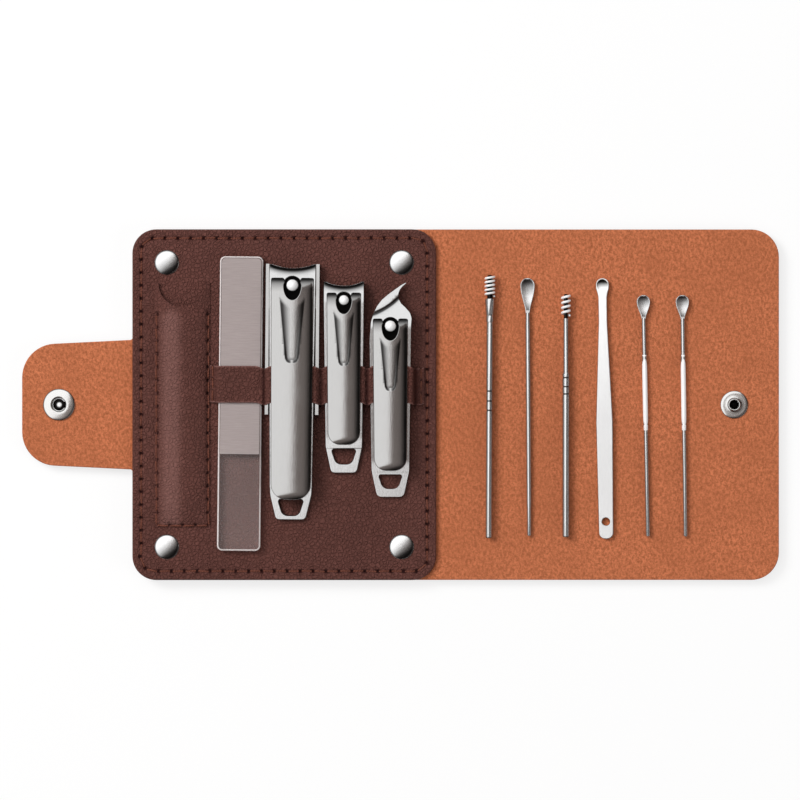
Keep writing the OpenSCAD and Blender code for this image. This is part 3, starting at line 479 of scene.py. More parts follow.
def joined(*parts):
    """Several (points, faces) as one."""
    points, faces = [], []
    for p, f in parts:
        base = len(points)
        points += [tuple(q) for q in p]
        faces += [tuple(i + base for i in face) for face in f]
    return points, faces


# ---------------------------------------------------------------- finishes

def pebbled_leather(name, tone, grain, wear_and_highlight=0.5):
    """Fine pebbled leather: small cells with creases between them and a cloudy colour.
    Painted shade darkens it where the dark mark is set, in its stitch holes and the strap's folds.
    It is paler where it is rubbed or cut, and under a painted highlight set on the near mark."""
    finish = Finish(name)
    kit = finish.kit
    here = kit.place()
    drift = kit.noise(here, 0.6, 2.0, out=1)
    bent = kit.add("ShaderNodeVectorMath", {"operation": "MULTIPLY_ADD"}, drift,
                   (1.1, 1.1, 1.1), here)
    crease = kit.creases(bent, grain * 0.85).ease(0.0, 0.24)
    fine = kit.creases(bent, grain * 2.3).ease(0.0, 0.25)
    cloud = kit.noise(here, 0.06, 3.0, 0.6).ease(0.3, 0.7)
    speck = kit.noise(here, 2.4, 3.0, 0.7).ease(0.3, 0.75)
    dark = tuple(c * 0.55 for c in tone)
    pale = tuple(c * 1.3 for c in tone)
    colour = kit.between(cloud * 0.4 + speck * 0.35, tuple(c * 0.84 for c in tone), pale)
    colour = kit.between((1.0 - crease * 0.7 - fine * 0.3) * 0.6, colour, dark)
    # Paler at rubbed and cut edges, and under a painted highlight carried by the near mark.
    colour = kit.between(kit.mark("near").ease(0.25, 1.0) * wear_and_highlight, colour,
                         tuple(min(1.0, c * 1.65 + 0.045) for c in tone))
    # Painted shade: stitch holes and the strap's folds go dark where the dark mark is set.
    colour = kit.between(kit.mark("dark"), colour, shade(40, 12, 10))
    height = crease * 0.26 + fine * 0.07 + speck * 0.05
    return finish.feed(Base_Color=colour, Roughness=0.52 + speck * 0.14,
                       Normal=kit.bump(height, 1.0), Specular_IOR_Level=0.22)


def napped_suede(name, tone):
    """Suede: short fibres that lie in brushed patches, with dark pits between them."""
    finish = Finish(name)
    kit = finish.kit
    here = kit.place()
    along = kit.noise(kit.place((1.3, 0.8, 1.0), (0, 0, 0.5)), 0.95, 5.0, 0.74)
    across = kit.noise(kit.place((0.9, 1.4, 1.0), (0, 0, 0.2)), 1.3, 5.0, 0.76)
    brushed = kit.noise(here, 0.06, 5.0, 0.66).ease(0.34, 0.66)
    bands = kit.noise(kit.place((0.35, 0.03, 1.0)), 1.0, 2.0, 0.5).ease(0.35, 0.65)
    pits = kit.noise(here, 2.1, 2.0, 0.6).ease(0.56, 0.72)
    fibre = along * 0.6 + across * 0.4
    colour = kit.between(fibre.ease(0.40, 0.60), tuple(c * 0.66 for c in tone),
                         tuple(min(1.0, c * 1.27 + 0.012) for c in tone))
    colour = kit.between(brushed * 0.36 + bands * 0.08, colour, tuple(c * 0.74 for c in tone))
    colour = kit.between(pits * 0.22, colour, tuple(c * 0.5 for c in tone))
    # Painted shade where the dark mark is set.
    colour = kit.between(kit.mark("dark"), colour, tuple(c * 0.25 for c in tone))
    height = fibre * 0.38 - pits * 0.06
    return finish.feed(Base_Color=colour, Roughness=0.96, Normal=kit.bump(height, 0.75),
                       Sheen_Weight=0.05, Sheen_Roughness=0.5, Specular_IOR_Level=0.12)


def twisted_thread(name, tone):
    """Waxed sewing thread, its plies slanting across it."""
    finish = Finish(name)
    kit = finish.kit
    slant = kit.place((1.0, 1.0, 1.0), (0, 0, 0.78))
    ply = kit.add("ShaderNodeTexWave", {"wave_type": "BANDS"}, Vector=slant, Scale=0.55,
                  Distortion=1.2, Detail=1.0, out=1)
    stain = kit.noise(kit.place(), 0.7, 2.0, 0.5).ease(0.3, 0.7)
    colour = kit.between(ply * 0.6, tone, tuple(c * 0.5 for c in tone))
    colour = kit.between(stain * 0.5, colour, tuple(c * 1.45 for c in tone))
    return finish.feed(Base_Color=colour, Roughness=0.62, Normal=kit.bump(ply * 0.08, 0.8))


def finishes():
    """Every finish of the object, made once."""
    if not FINISHES:
        case = bpy.context.scene.manicure_case
        leather, suede = shade(*case.leather_tone), shade(*case.suede_tone)
        FINISHES["leather"] = pebbled_leather("brown_leather", leather, case.grain)
        FINISHES["strap"] = pebbled_leather("strap_leather", tuple(c * 0.96 for c in leather),
                                            case.grain, 0.9)
        FINISHES["suede"] = napped_suede("tan_suede", suede)
        FINISHES["thread"] = twisted_thread("brown_thread", shade(*case.thread_tone))
        FINISHES.update(metals())
    return FINISHES


FINISHES = {}


# ---------------------------------------------------------------- the case: leather and suede

def shell_outline():
    """The unfolded shell, seen from above: tab, back, spine and cover in one."""
    back = box_loop(PANEL_LOW.x, X_LAST, -HALF_H, HALF_H)
    root, end = 20.25, 18.6
    corners = [back[0], back[1], back[2], back[3], (PANEL_LOW.x, root), (X_TAB, root),
               (X_END, end), (X_END, -end), (X_TAB, -root), (PANEL_LOW.x, -root)]
    return rounded(corners, [7.5, 8.6, 8.6, 7.5, 0.9, 0.0, 10.6, 10.6, 0.0, 0.9], 12)


def fold_lines():
    """Where the shell is cut: each section as (name, from x, to x, its body, its other body).
    A section with a second body lies over a fold between the two."""
    bend = 2.5
    stiff = ("tab_flap", "tab_riser", "case", "spine", "cover")
    names = ("tab_flap", "tab_riser", "back", "spine", "cover")
    folds = (("tab_fold_outer", X_FLAP, "tab_riser", "tab_flap"),
             ("tab_fold_inner", X_TAB, "case", "tab_riser"),
             ("spine_fold", X_SPINE, "case", "spine"),
             ("cover_fold", X_COVER, "spine", "cover"))
    starts = [X_END - 1] + [x + bend for _, x, _, _ in folds]
    ends = [x - bend for _, x, _, _ in folds] + [X_LAST + 1]
    flat = [(name, x0, x1, body, None) for name, x0, x1, body in zip(names, starts, ends, stiff)]
    bent = [(name, x - bend, x + bend, body, other) for name, x, body, other in folds]
    return [row for pair in zip(flat, bent) for row in pair] + flat[-1:]


def sliced(name, mesh, x0, x1, columns):
    """The part of a closed mesh between two planes across it, closed again.
    Its columns give it places to bend."""
    bm = bmesh.new()
    bm.from_mesh(mesh)
    for x, keep_above in ((x0, True), (x1, False)):
        cut = bmesh.ops.bisect_plane(
            bm, geom=bm.verts[:] + bm.edges[:] + bm.faces[:], dist=1e-8,
            plane_co=(x * MM, 0, 0), plane_no=(1, 0, 0),
            clear_inner=keep_above, clear_outer=not keep_above)
        rim = [e for e in cut["geom_cut"] if isinstance(e, bmesh.types.BMEdge)]
        if rim:
            bmesh.ops.holes_fill(bm, edges=rim, sides=0)
    for k in range(1, columns):
        bmesh.ops.bisect_plane(
            bm, geom=bm.verts[:] + bm.edges[:] + bm.faces[:], dist=1e-8,
            plane_co=((x0 + (x1 - x0) * k / columns) * MM, 0, 0), plane_no=(1, 0, 0))
    for face in bm.faces:
        if abs(face.normal.x) > 0.99:
            for edge in face.edges:
                edge.smooth = False
    out = bpy.data.meshes.new(name)
    bm.to_mesh(out)
    bm.free()
    return out


class MANICURE_OT_shell(bpy.types.Operator):
    """Leather outside and suede inside, from the tab to the cover's edge, cut into sections at
    four folds
    """
    bl_idname = "manicure.shell"
    bl_label = "Shell"

    def execute(self, context):
        rng = random.Random(4)
        outline = spaced(shell_outline(), 1.6)
        ripple = [(rng.uniform(0.03, 0.09), rng.uniform(0, 6.28), rng.uniform(-0.06, 0.06))
                  for _ in range(5)]

        def soft(level):
            """A hide never lies quite flat, where nothing is fixed to it."""
            def surface(x, y):
                free = limit((np.abs(x - PANEL_MID) - 52) / 12)
                wave = sum(np.sin(x * k + p + y * t) for k, p, t in ripple) / 5
                return level + 0.05 * free * wave
            return surface

        snap = (node_box("snap_socket")[0].x + 5.0, 0.0)
        stud = (node_box("snap_stud")[0].x + 4.0, 0.0)
        for layer, finish, slot, node, low, high, edge in (
                ("hide", "leather", "brown_leather", "leather", Z_LEATHER, Z_LINING - 0.01, 0.4),
                ("suede", "suede", "tan_suede", "lining", Z_LINING, soft(Z_SUEDE), 0.28)):
            whole = plate(outline, high, low, holes=[hole_loop(snap, 2.9), hole_loop(stud, 2.1)],
                          edge=edge, step=(3.0, 3.0))
            mesh = mesh_of("whole", whole[0], whole[1], near=whole[2])
            made = {}
            for name, x0, x1, body, other in fold_lines():
                part = sliced(f"{name}_{layer}", mesh, x0, x1, 14 if other else 1)
                if other:
                    obj = piece(f"{name}_{layer}", part, FINISHES[finish])
                    self.fold_edge(x0, x1, 0)
                    self.fold_edge(x0, x1, 1)
                    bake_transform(obj)
                else:
                    obj = piece(f"{name}_{layer}", part, FINISHES[finish], body,
                                [f"{name}_{node}"])
                made[name] = obj
            bpy.data.meshes.remove(mesh)
            for name in ("tab_flap", "back", "cover"):
                obj = made[name]
                [] if layer == "hide" else [f"{name}_hide"]
        return {"FINISHED"}

    @staticmethod
    def fold_edge(x0, x1, late):
        """Where a fold strip starts to bend, or ends: the tab's folds run toward -X."""
        toward_tab = x1 < X_TAB + 5
        x = (x0 if late else x1) if toward_tab else (x1 if late else x0)
        return (x * MM, 0, Z_SUEDE * MM)


def metals():
    """The metal and glass finishes."""
    made = {}
    even = (1.0, 1.0, 1.0)
    for name, tone, metallic, rough, grain, scale in (
            ("satin_steel", (180, 179, 178), 1.0, 0.10, 0.04, (1.0, 0.12, 1.0)),
            ("polished_steel", (198, 198, 198), 1.0, 0.10, 0.04, (1.0, 0.2, 1.0)),
            ("dome_steel", (232, 232, 232), 1.0, 0.22, 0.03, even),
            ("mirror_steel", (252, 252, 252), 1.0, 0.30, 0.03, (1.0, 0.2, 1.0)),
            ("rod_steel", (224, 224, 224), 0.85, 0.16, 0.04, (2.0, 0.1, 2.0)),
            ("pearl_steel", (250, 250, 250), 1.0, 0.30, 0.04, even),
            # Near-white and barely metallic: a painted reflection of the bright sky on polished
            # steel, for the pin balls, the coil wire and the grips.
            ("highlight_white_steel", (252, 252, 252), 0.1, 0.16, 0.02, even),
            ("nickel", (216, 215, 213), 1.0, 0.12, 0.06, even),
            ("dark_steel", (120, 118, 116), 1.0, 0.28, 0.06, even),
            # Black: for the dark pieces that paint shade in the snap post's bore and round the
            # pin.
            ("black", (16, 15, 15), 1.0, 0.4, 0.06, even)):
        finish = Finish(name)
        kit = finish.kit
        lines = kit.noise(kit.place(scale), 3.0, 3.0, 0.6)
        smear = kit.noise(kit.place(), 0.12, 3.0, 0.6).ease(0.35, 0.7)
        base = shade(*tone)
        colour = kit.between(lines.ease(0.3, 0.7) * 0.3, base, tuple(c * 0.92 for c in base))
        colour = kit.between(kit.mark("shadow"), colour, shade(26, 24, 23))
        made[name] = finish.feed(
            Base_Color=colour, Metallic=metallic,
            Roughness=rough + smear * grain + lines * grain * 0.5,
            Normal=kit.bump(lines, 0.015 if rough < 0.15 else 0.03))

    finish = Finish("etched_glass")
    kit = finish.kit
    strokes = kit.noise(kit.place((0.10, 2.6, 1.0)), 1.7, 4.0, 0.7)
    frost = kit.noise(kit.place(), 3.2, 3.0, 0.65)
    cloud = kit.noise(kit.place(), 0.05, 2.0, 0.5).ease(0.3, 0.7)
    grey = shade(166, 154, 152)
    colour = kit.between(strokes.ease(0.34, 0.66), tuple(c * 0.90 for c in grey),
                         tuple(c * 1.06 for c in grey))
    colour = kit.between(cloud * 0.18, colour, tuple(c * 0.88 for c in grey))
    made["etched_glass"] = finish.feed(
        Base_Color=colour, Roughness=0.6 + frost * 0.15,
        Normal=kit.bump(strokes * 0.02 + frost * 0.015, 0.6), Specular_IOR_Level=0.25)

    finish = Finish("clear_glass")
    kit = finish.kit
    scuff = kit.noise(kit.place((0.3, 2.0, 1.0)), 1.2, 3.0, 0.6).ease(0.5, 0.9)
    # Painted reflection: the pale colour shows through the low alpha as a whitish sheen, and the
    # rounded edges turn opaque and pale as a painted highlight.
    rim = kit.mark("near").ease(0.05, 0.55)
    finish.feed(Base_Color=kit.between(scuff * 0.5, shade(236, 226, 224), shade(214, 204, 202)),
                Roughness=0.06 + scuff * 0.08, Alpha=0.055 + rim * 0.8, IOR=1.5,
                Coat_Weight=0.6)
    made["clear_glass"] = finish.material
    return made


# ---------------------------------------------------------------- the panel and its pocket

STITCH_PITCH = 4.0
SEAM_INSET = 2.8        # from the panel's edge in to its seam
SEAM_R = 4.7
PANEL_R = 7.5
DENT_REACH = 0.98       # how far round a stitch hole the leather is drawn down


def seam_spots():
    """The middle and heading of each stitch round the panel."""
    w = PANEL_HIGH.x - PANEL_LOW.x - 2 * SEAM_INSET
    h = 2 * HALF_H - 2 * SEAM_INSET
    loop = spaced(rounded(box_loop(PANEL_MID - w / 2, PANEL_MID + w / 2, -h / 2, h / 2),
                          [SEAM_R] * 4, 16), 0.25)
    return even_spots(loop, STITCH_PITCH, closed=True)


def even_spots(line, pitch, closed=False):
    """Points and headings at an even pitch along a line."""
    p = np.asarray(line + [line[0]] if closed else line, float)
    far = np.concatenate([[0], np.cumsum(np.linalg.norm(np.diff(p, axis=0), axis=1))])
    n = max(1, int(far[-1] / pitch))
    spots = []
    for k in range(n):
        s = (k + 0.5) * far[-1] / n
        i = min(int(np.searchsorted(far, s)) - 1, len(p) - 2)
        t = (s - far[i]) / max(far[i + 1] - far[i], 1e-9)
        d = p[i + 1] - p[i]
        spots.append((*(p[i] + d * t), math.atan2(d[1], d[0])))
    return spots


def stitch_holes(spots, pitch):
    """Where the thread goes in and out: between one stitch and the next."""
    holes = {}
    for x, y, a in spots:
        for s in (-1, 1):
            p = (x + s * math.cos(a) * pitch / 2, y + s * math.sin(a) * pitch / 2)
            holes[tuple(round(v / 0.6) for v in p)] = p
    kept = []
    for p in holes.values():
        if all(math.dist(p, q) > 1.1 for q in kept):
            kept.append(p)
    return kept


def dents(holes, reach):
    """A function of x and y: 1 at each hole and 0 past its reach."""
    tree = kdtree.KDTree(len(holes))
    for i, (x, y) in enumerate(holes):
        tree.insert((x, y, 0), i)
    tree.balance()

    def near(x, y):
        return smooth(1 - np.array([tree.find((a, b, 0))[2] for a, b in zip(x, y)]) / reach)
    return near


def hole_dots(holes):
    """Extra points round each hole, so that its dent has a shape."""
    return [p for x, y in holes for p in
            [(x, y)] + [(x + r * math.cos(k * math.pi / 3), y + r * math.sin(k * math.pi / 3))
                        for r in (0.22, 0.5, 1.0) for k in range(6)]]


def rounded_box_gap(x, y, half_w, half_h, r, mid=0.0):
    """How far a point lies outside a rounded rectangle, negative inside."""
    qx, qy = np.abs(x - mid) - half_w + r, np.abs(y) - half_h + r
    return np.hypot(np.maximum(qx, 0), np.maximum(qy, 0)) + np.minimum(np.maximum(qx, qy), 0) - r


POCKET_LOW, POCKET_HIGH = node_box("pocket_front")
POCKET_X = (POCKET_LOW.x + POCKET_HIGH.x) / 2
POCKET_HALF = (POCKET_HIGH.x - POCKET_LOW.x) / 2
NOTCH_R = 7.4
POCKET_RIM = 1.05       # the flat leather past the bulge
POCKET_RISE = 2.38      # the bulge's height
SEAM_OFF = 0.35         # from the bulge's foot to the seam
POCKET_SEAM_TOP = POCKET_LOW.y + 65.8
POCKET_SEAM_X = POCKET_HALF + SEAM_OFF


def pocket_seam():
    """The stitches down both sides of the pocket and under its foot."""
    left, right = POCKET_X - POCKET_SEAM_X, POCKET_X + POCKET_SEAM_X
    foot = POCKET_LOW.y - SEAM_OFF
    sides = (((left, foot), (left, POCKET_SEAM_TOP)), ((left, foot), (right, foot)),
             ((right, foot), (right, POCKET_SEAM_TOP)))
    return [spot for side in sides for spot in even_spots(list(side), STITCH_PITCH)]


class MANICURE_OT_panel(bpy.types.Operator):
    """The leather-covered board that holds the tools, its seam sunk in a pressed channel"""
    bl_idname = "manicure.panel"
    bl_label = "Panel"

    def execute(self, context):
        outline = spaced(rounded(box_loop(PANEL_LOW.x, PANEL_HIGH.x, -HALF_H, HALF_H),
                                 [PANEL_R] * 4, 12), 0.9)
        half_w = (PANEL_HIGH.x - PANEL_LOW.x) / 2 - SEAM_INSET
        half_h = HALF_H - SEAM_INSET
        seam_holes = stitch_holes(seam_spots(), STITCH_PITCH)
        pocket_holes = stitch_holes(pocket_seam(), STITCH_PITCH)
        pierced = dents(seam_holes + pocket_holes, DENT_REACH)

        def top(x, y):
            gap = np.abs(rounded_box_gap(x, y, half_w, half_h, SEAM_R, PANEL_MID))
            channel = 0.24 * np.exp(-(gap / 0.42) ** 2)
            edge_gap = -rounded_box_gap(x, y, half_w + SEAM_INSET, HALF_H, PANEL_R, PANEL_MID)
            fall = 0.10 * limit(1 - edge_gap / 1.6) ** 2
            return Z_TOP - channel - fall - 0.34 * pierced(x, y)

        lines = []
        for grow in (-0.75, -0.4, 0.0, 0.4, 0.75):
            ring = rounded(box_loop(PANEL_MID - half_w - grow, PANEL_MID + half_w + grow,
                                    -half_h - grow, half_h + grow), [SEAM_R + grow] * 4, 8)
            ring = spaced(ring, 0.8)
            lines.append(ring + [ring[0]])
        points, faces, near = plate(outline, top, Z_SUEDE + 0.02, edge=0.45, low_edge=0.2,
                                    step=(3.2, 3.2), lines=lines,
                                    dots=hole_dots(seam_holes + pocket_holes), margin=0.9)
        # Painted shade in the stitch holes, carried by the dark mark.
        deep = pierced(points[:, 0], points[:, 1]) * (points[:, 2] > Z_TOP - 1)
        show("panel_leather", (points, faces), "leather", "case", "brown_leather",
             ["panel_face", "panel_board"], near=near * 0.25, dark=limit(deep * 2.2))
        return {"FINISHED"}


class MANICURE_OT_pocket(bpy.types.Operator):
    """The long pocket: soft leather puffed between its seams, with a thumb notch at its mouth"""
    bl_idname = "manicure.pocket"
    bl_label = "Pocket"

    def execute(self, context):
        half = POCKET_HALF + POCKET_RIM
        left, right = POCKET_X - half, POCKET_X + half
        foot, mouth = POCKET_LOW.y - POCKET_RIM, POCKET_HIGH.y
        notch = arc((POCKET_X, mouth), NOTCH_R, 0, -180, 32)
        outline = spaced([(left, foot), (right, foot), (right, mouth)] + notch + [(left, mouth)],
                         0.7)
        holes = stitch_holes(pocket_seam(), STITCH_PITCH)
        pierced = dents(holes, DENT_REACH)
        rng = random.Random(11)
        folds = [(rng.uniform(foot + 3, mouth - 12), rng.uniform(-1, 1), rng.uniform(1.2, 2.6))
                 for _ in range(9)]

        def bulge(x, y):
            """The height over the panel: high and round, falling to the seams and to the foot."""
            foot_run, mouth_run = 8.5, 14
            across = limit(1 - ((x - POCKET_X) / POCKET_HALF) ** 2)
            rise = np.sin(limit((y - POCKET_LOW.y) / foot_run) * math.pi / 2) ** 0.9
            down = 1 - 0.5 * limit((y - mouth + mouth_run) / mouth_run) ** 2
            return POCKET_RISE * across ** 0.9 * rise * down

        def crease(x, y):
            """Short slanting folds, each from its own place across the pocket."""
            depth, reach, slant = 0.16, 3.5, 0.35
            out = 0
            for at, side, wide in folds:
                off = x - POCKET_X - side * POCKET_HALF
                d2 = ((y - at - off * slant) / wide) ** 2 + (off / reach) ** 2
                out = out + depth * np.exp(-d2)
            return out

        def top(x, y):
            """The sheet's upper side: over the bulge, creased, and drawn down along the seam."""
            off, far = np.abs(x - POCKET_X), 9
            seam = np.minimum(np.abs(off - POCKET_SEAM_X),
                              np.where(off < POCKET_SEAM_X,
                                       np.abs(y - POCKET_LOW.y + SEAM_OFF), far))
            seam = np.where(y > POCKET_SEAM_TOP + 0.5, far, seam)
            lip = limit(np.minimum(np.minimum(x - left, right - x), y - foot) / POCKET_RIM)
            sheet = 0.10 + 0.62 * np.where(y > POCKET_SEAM_TOP + 1, lip ** 0.7, lip)
            return (Z_TOP + 0.02 + sheet + bulge(x, y) - crease(x, y) * (bulge(x, y) > 0.2)
                    - 0.30 * np.exp(-(seam / 0.4) ** 2) - 0.3 * pierced(x, y))

        def under(x, y):
            return np.minimum(Z_TOP + 0.03 + np.maximum(bulge(x, y) - 0.05, 0), top(x, y) - 0.08)

        rows = [spaced([(x, foot + 0.4), (x, mouth - 0.6)], 0.8, closed=False) for x in
                (POCKET_X - POCKET_SEAM_X, POCKET_X + POCKET_SEAM_X)]
        points, faces, near = plate(outline, top, under, edge=0.16, low_edge=0.04,
                                    step=(0.75, 1.1), lines=rows, dots=hole_dots(holes),
                                    margin=0.35)
        x, y, z = points.T
        # Painted shade in the stitch holes, carried by the dark mark.
        deep = pierced(x, y) * (z > Z_TOP + 0.1)
        across = (x - POCKET_X) / POCKET_HALF
        fade = limit((mouth - 5 - y) / 6)
        # Painted highlight: the top of the bulge is paler, most toward its left side where the
        # light falls, fading before the mouth.
        painted_highlight = (0.72 * np.exp(-((across + 0.45) / 0.38) ** 2) + 0.32) * fade * (across ** 2 < 0.94)
        # The near mark carries both the pale edge wear and this painted highlight.
        near = np.maximum(near * 0.5, np.where(z > Z_TOP + 0.5, painted_highlight, 0))
        obj = show("pocket_leather", (points, faces), "leather", "case", "brown_leather",
                   ["pocket_front"], near=near, dark=limit(deep * 2.2))
        return {"FINISHED"}


# ---------------------------------------------------------------- the strap and the threads

STRAP_LOW, STRAP_HIGH = node_box("strap")
# The strap's upper line from foot to foot, over the file and the three clippers: (x, height).
STRAP_TOP = [(-59.58, 5.38), (-58.2, 5.4), (-57.85, 6.0), (-57.78, 6.9), (-57.08, 7.76),
             (-55.5, 7.84), (-50.0, 7.88), (-45.0, 7.84), (-42.88, 7.74), (-42.6, 7.5),
             (-42.3, 8.2), (-41.37, 9.2), (-38.0, 9.27), (-34.0, 9.28), (-29.5, 9.27),
             (-26.47, 9.2), (-25.3, 8.15), (-24.76, 7.7), (-24.3, 8.45), (-23.6, 8.68),
             (-17.6, 8.73), (-11.9, 8.68), (-11.0, 8.3), (-10.48, 7.75), (-10.0, 9.1),
             (-9.3, 9.58), (-3.1, 9.65), (3.0, 9.60), (3.9, 9.1), (4.9, 6.6), (5.5, 5.5),
             (7.4, 5.38)]


def along(line, step):
    """A line's points at an even step, run through smoothly."""
    p = np.asarray(line, float)
    far = np.concatenate([[0], np.cumsum(np.linalg.norm(np.diff(p, axis=0), axis=1))])
    s = np.linspace(0, far[-1], int(far[-1] / step) + 1)
    q = np.stack([np.interp(s, far, p[:, k]) for k in range(p.shape[1])], 1)
    for _ in range(2):
        q[1:-1] = q[1:-1] * 0.5 + (q[:-2] + q[2:]) * 0.25
    return q


def strap_stitches():
    """The seams at both feet of the strap."""
    return (even_spots([(STRAP_LOW.x + 0.9, STRAP_LOW.y + 0.7),
                        (STRAP_LOW.x + 0.9, STRAP_HIGH.y - 0.5)], 3.0)
            + even_spots([(STRAP_HIGH.x - 1.0, STRAP_LOW.y - 0.2),
                          (STRAP_HIGH.x - 1.0, STRAP_HIGH.y - 1.3)], 3.0))


class MANICURE_OT_strap(bpy.types.Operator):
    """The soft leather strap that runs over the tools and dips into the gaps between them"""
    bl_idname = "manicure.strap"
    bl_label = "Strap"

    def execute(self, context):
        top = along(STRAP_TOP, 0.22)
        x, z = top[:, 0], top[:, 1]
        wide = STRAP_HIGH.y - STRAP_LOW.y
        mid = (STRAP_HIGH.y + STRAP_LOW.y) / 2
        pulled = sum(0.75 * np.exp(-((x - at) / w) ** 2) for at, w in
                     ((-42.6, 1.4), (-24.8, 1.5), (-10.4, 1.0), (5.2, 2.4)))
        rng = random.Random(5)
        wave = [(rng.uniform(0.25, 0.9), rng.uniform(0, 6.28)) for _ in range(4)]
        fray = sum(np.sin(x * k + p) for k, p in wave) * 0.03
        sag = -0.25 - pulled + 0.3 * limit((x + 57) / -3)
        slope = np.gradient(z, x)
        lean = np.stack([-slope, np.ones_like(slope)], 1)
        lean /= np.linalg.norm(lean, axis=1, keepdims=True)
        half, r, thick = wide / 2 - 0.55, 0.22, 0.62
        flat = half - r
        section = [(t * flat, 0.05 * (1 - t * t)) for t in np.linspace(-1, 1, 15)]
        section += arc((flat, -r), r, 67.5, 0, 3) + arc((flat, r - thick), r, -22.5, -90, 3)
        section += [(t * flat, -thick) for t in np.linspace(1, -1, 15)]
        section += arc((-flat, r - thick), r, -112.5, -180, 3) + arc((-flat, -r), r, 180, 112.5, 3)
        n = len(section)
        holes = stitch_holes(strap_stitches(), 3.0)
        pierced = dents(holes, 0.55)
        points, near = [], []
        for i in range(len(x)):
            for u, w in section:
                y = mid + sag[i] + fray[i] + u
                dip = 0.25 * pierced([x[i]], [y])[0] if w > -0.1 else 0
                foot = 0.55 if x[i] < -58 or x[i] > 5.8 else 1.0
                d = w * foot if w < -0.1 else w - dip
                points.append((x[i] + lean[i, 0] * d, y, z[i] + lean[i, 1] * d))
                near.append(float(limit((abs(u) - half + 0.42) / 0.3)) * (w > -0.3))
        points = np.array(points)
        # Painted shade: dark in the folds where the strap dips between the tools, and in its
        # stitch holes.
        valley_shade = sum(0.8 * np.exp(-((points[:, 0] - at) / wide_at) ** 2) for at, wide_at in
                     ((-42.65, 0.5), (-24.75, 0.7), (-10.45, 0.55), (4.6, 0.7)))
        dark = limit(pierced(points[:, 0], points[:, 1]) * 1.8 + valley_shade)
        obj = show("strap_leather", (points, rings(len(x), n)), "strap", "case", "brown_leather",
                   ["strap"], near=near, dark=dark)
        turn_out(obj.data)
        return {"FINISHED"}


def stitch_nodes(length, thick):
    """A tree that lays a stitch on each point of a mesh, turned to its heading.
    Each stitch is arched between its two holes."""
    tree = bpy.data.node_groups.new("stitches", "GeometryNodeTree")
    face = tree.interface
    face.new_socket("Geometry", in_out="INPUT", socket_type="NodeSocketGeometry")
    for name, value, low, high in (("Length", length, 0.0005, 0.006),
                                   ("Thickness", thick, 0.0001, 0.001),
                                   ("Arch", 0.00012, 0.0, 0.001)):
        socket = face.new_socket(name, in_out="INPUT", socket_type="NodeSocketFloat")
        socket.default_value, socket.min_value, socket.max_value = value, low, high
        socket.subtype = "DISTANCE"
    face.new_socket("Thread", in_out="INPUT", socket_type="NodeSocketMaterial")
    face.new_socket("Geometry", in_out="OUTPUT", socket_type="NodeSocketGeometry")
    kit = Kit(tree)
    given = tree.nodes.new("NodeGroupInput")
    geo, long, fat, high, thread = (Val(kit, given.outputs[k]) for k in
                                    ("Geometry", "Length", "Thickness", "Arch", "Thread"))
    node = tree.nodes.new("GeometryNodeCurvePrimitiveBezierSegment")
    for name, x, z in (("Start", -0.5, -1.0), ("Start Handle", -0.34, 1.0),
                       ("End Handle", 0.34, 1.0), ("End", 0.5, -1.0)):
        where = kit.add("ShaderNodeCombineXYZ", None, long * x, 0.0, high * z)
        kit.put(node.inputs[name], where)
    node.inputs["Resolution"].default_value = 7
    ring = kit.add("GeometryNodeCurvePrimitiveCircle", None, Resolution=8, Radius=fat)
    tube = kit.add("GeometryNodeCurveToMesh", None, Curve=Val(kit, node.outputs["Curve"]),
                   Profile_Curve=ring, Fill_Caps=True)
    heading = tree.nodes.new("GeometryNodeInputNamedAttribute")
    heading.data_type = "FLOAT"
    heading.inputs["Name"].default_value = "heading"
    turn = kit.add("ShaderNodeCombineXYZ", None, 0.0, 0.0, Val(kit, heading.outputs[0]))
    turn = kit.add("FunctionNodeEulerToRotation", None, turn)
    laid = kit.add("GeometryNodeInstanceOnPoints", None, Points=geo, Instance=tube,
                   Rotation=turn)
    real = kit.add("GeometryNodeRealizeInstances", None, laid)
    done = kit.add("GeometryNodeSetMaterial", None, Geometry=real, Material=thread)
    kit.put(tree.nodes.new("NodeGroupOutput").inputs[0], done)
    return tree


class MANICURE_OT_stitches(bpy.types.Operator):
    """Every stitch of the panel, pocket and strap, laid by one node tree"""
    bl_idname = "manicure.stitches"
    bl_label = "Stitches"

    def execute(self, context):
        case = context.scene.manicure_case
        tree = stitch_nodes(case.stitch_gap * MM, case.thread_width / 2 * MM)
        rng = random.Random(9)
        runs = (("panel_stitches", seam_spots(), Z_TOP - 0.23, ["seam_thread"]),
                ("pocket_stitches", pocket_seam(), Z_TOP + 0.42, ["pocket_thread"]),
                ("strap_stitches", strap_stitches(), Z_TOP + 0.66, ["strap_thread"]))
        for name, spots, level, nodes in runs:
            points = [(x + rng.uniform(-0.06, 0.06), y + rng.uniform(-0.06, 0.06), level)
                      for x, y, _ in spots]
            mesh = mesh_of(name, points, [], heading=[a + rng.uniform(-0.07, 0.07)
                                                      for _, _, a in spots])
            obj = bpy.data.objects.new(name, mesh)
            context.scene.collection.objects.link(obj)
            modifier = obj.modifiers.new("stitches", "NODES")
            modifier.node_group = tree
            for item in tree.interface.items_tree:
                if item.in_out == "INPUT" and item.name == "Thread":
                    modifier[item.identifier] = FINISHES["thread"]
            context.view_layer.update()
            real = bpy.data.meshes.new_from_object(
                obj.evaluated_get(context.evaluated_depsgraph_get()))
            bpy.data.objects.remove(obj)
            real.name = name
            real.shade_smooth()
            piece(name, real, None, "case", nodes)
        return {"FINISHED"}


# ---------------------------------------------------------------- rivets, snaps and the glass file

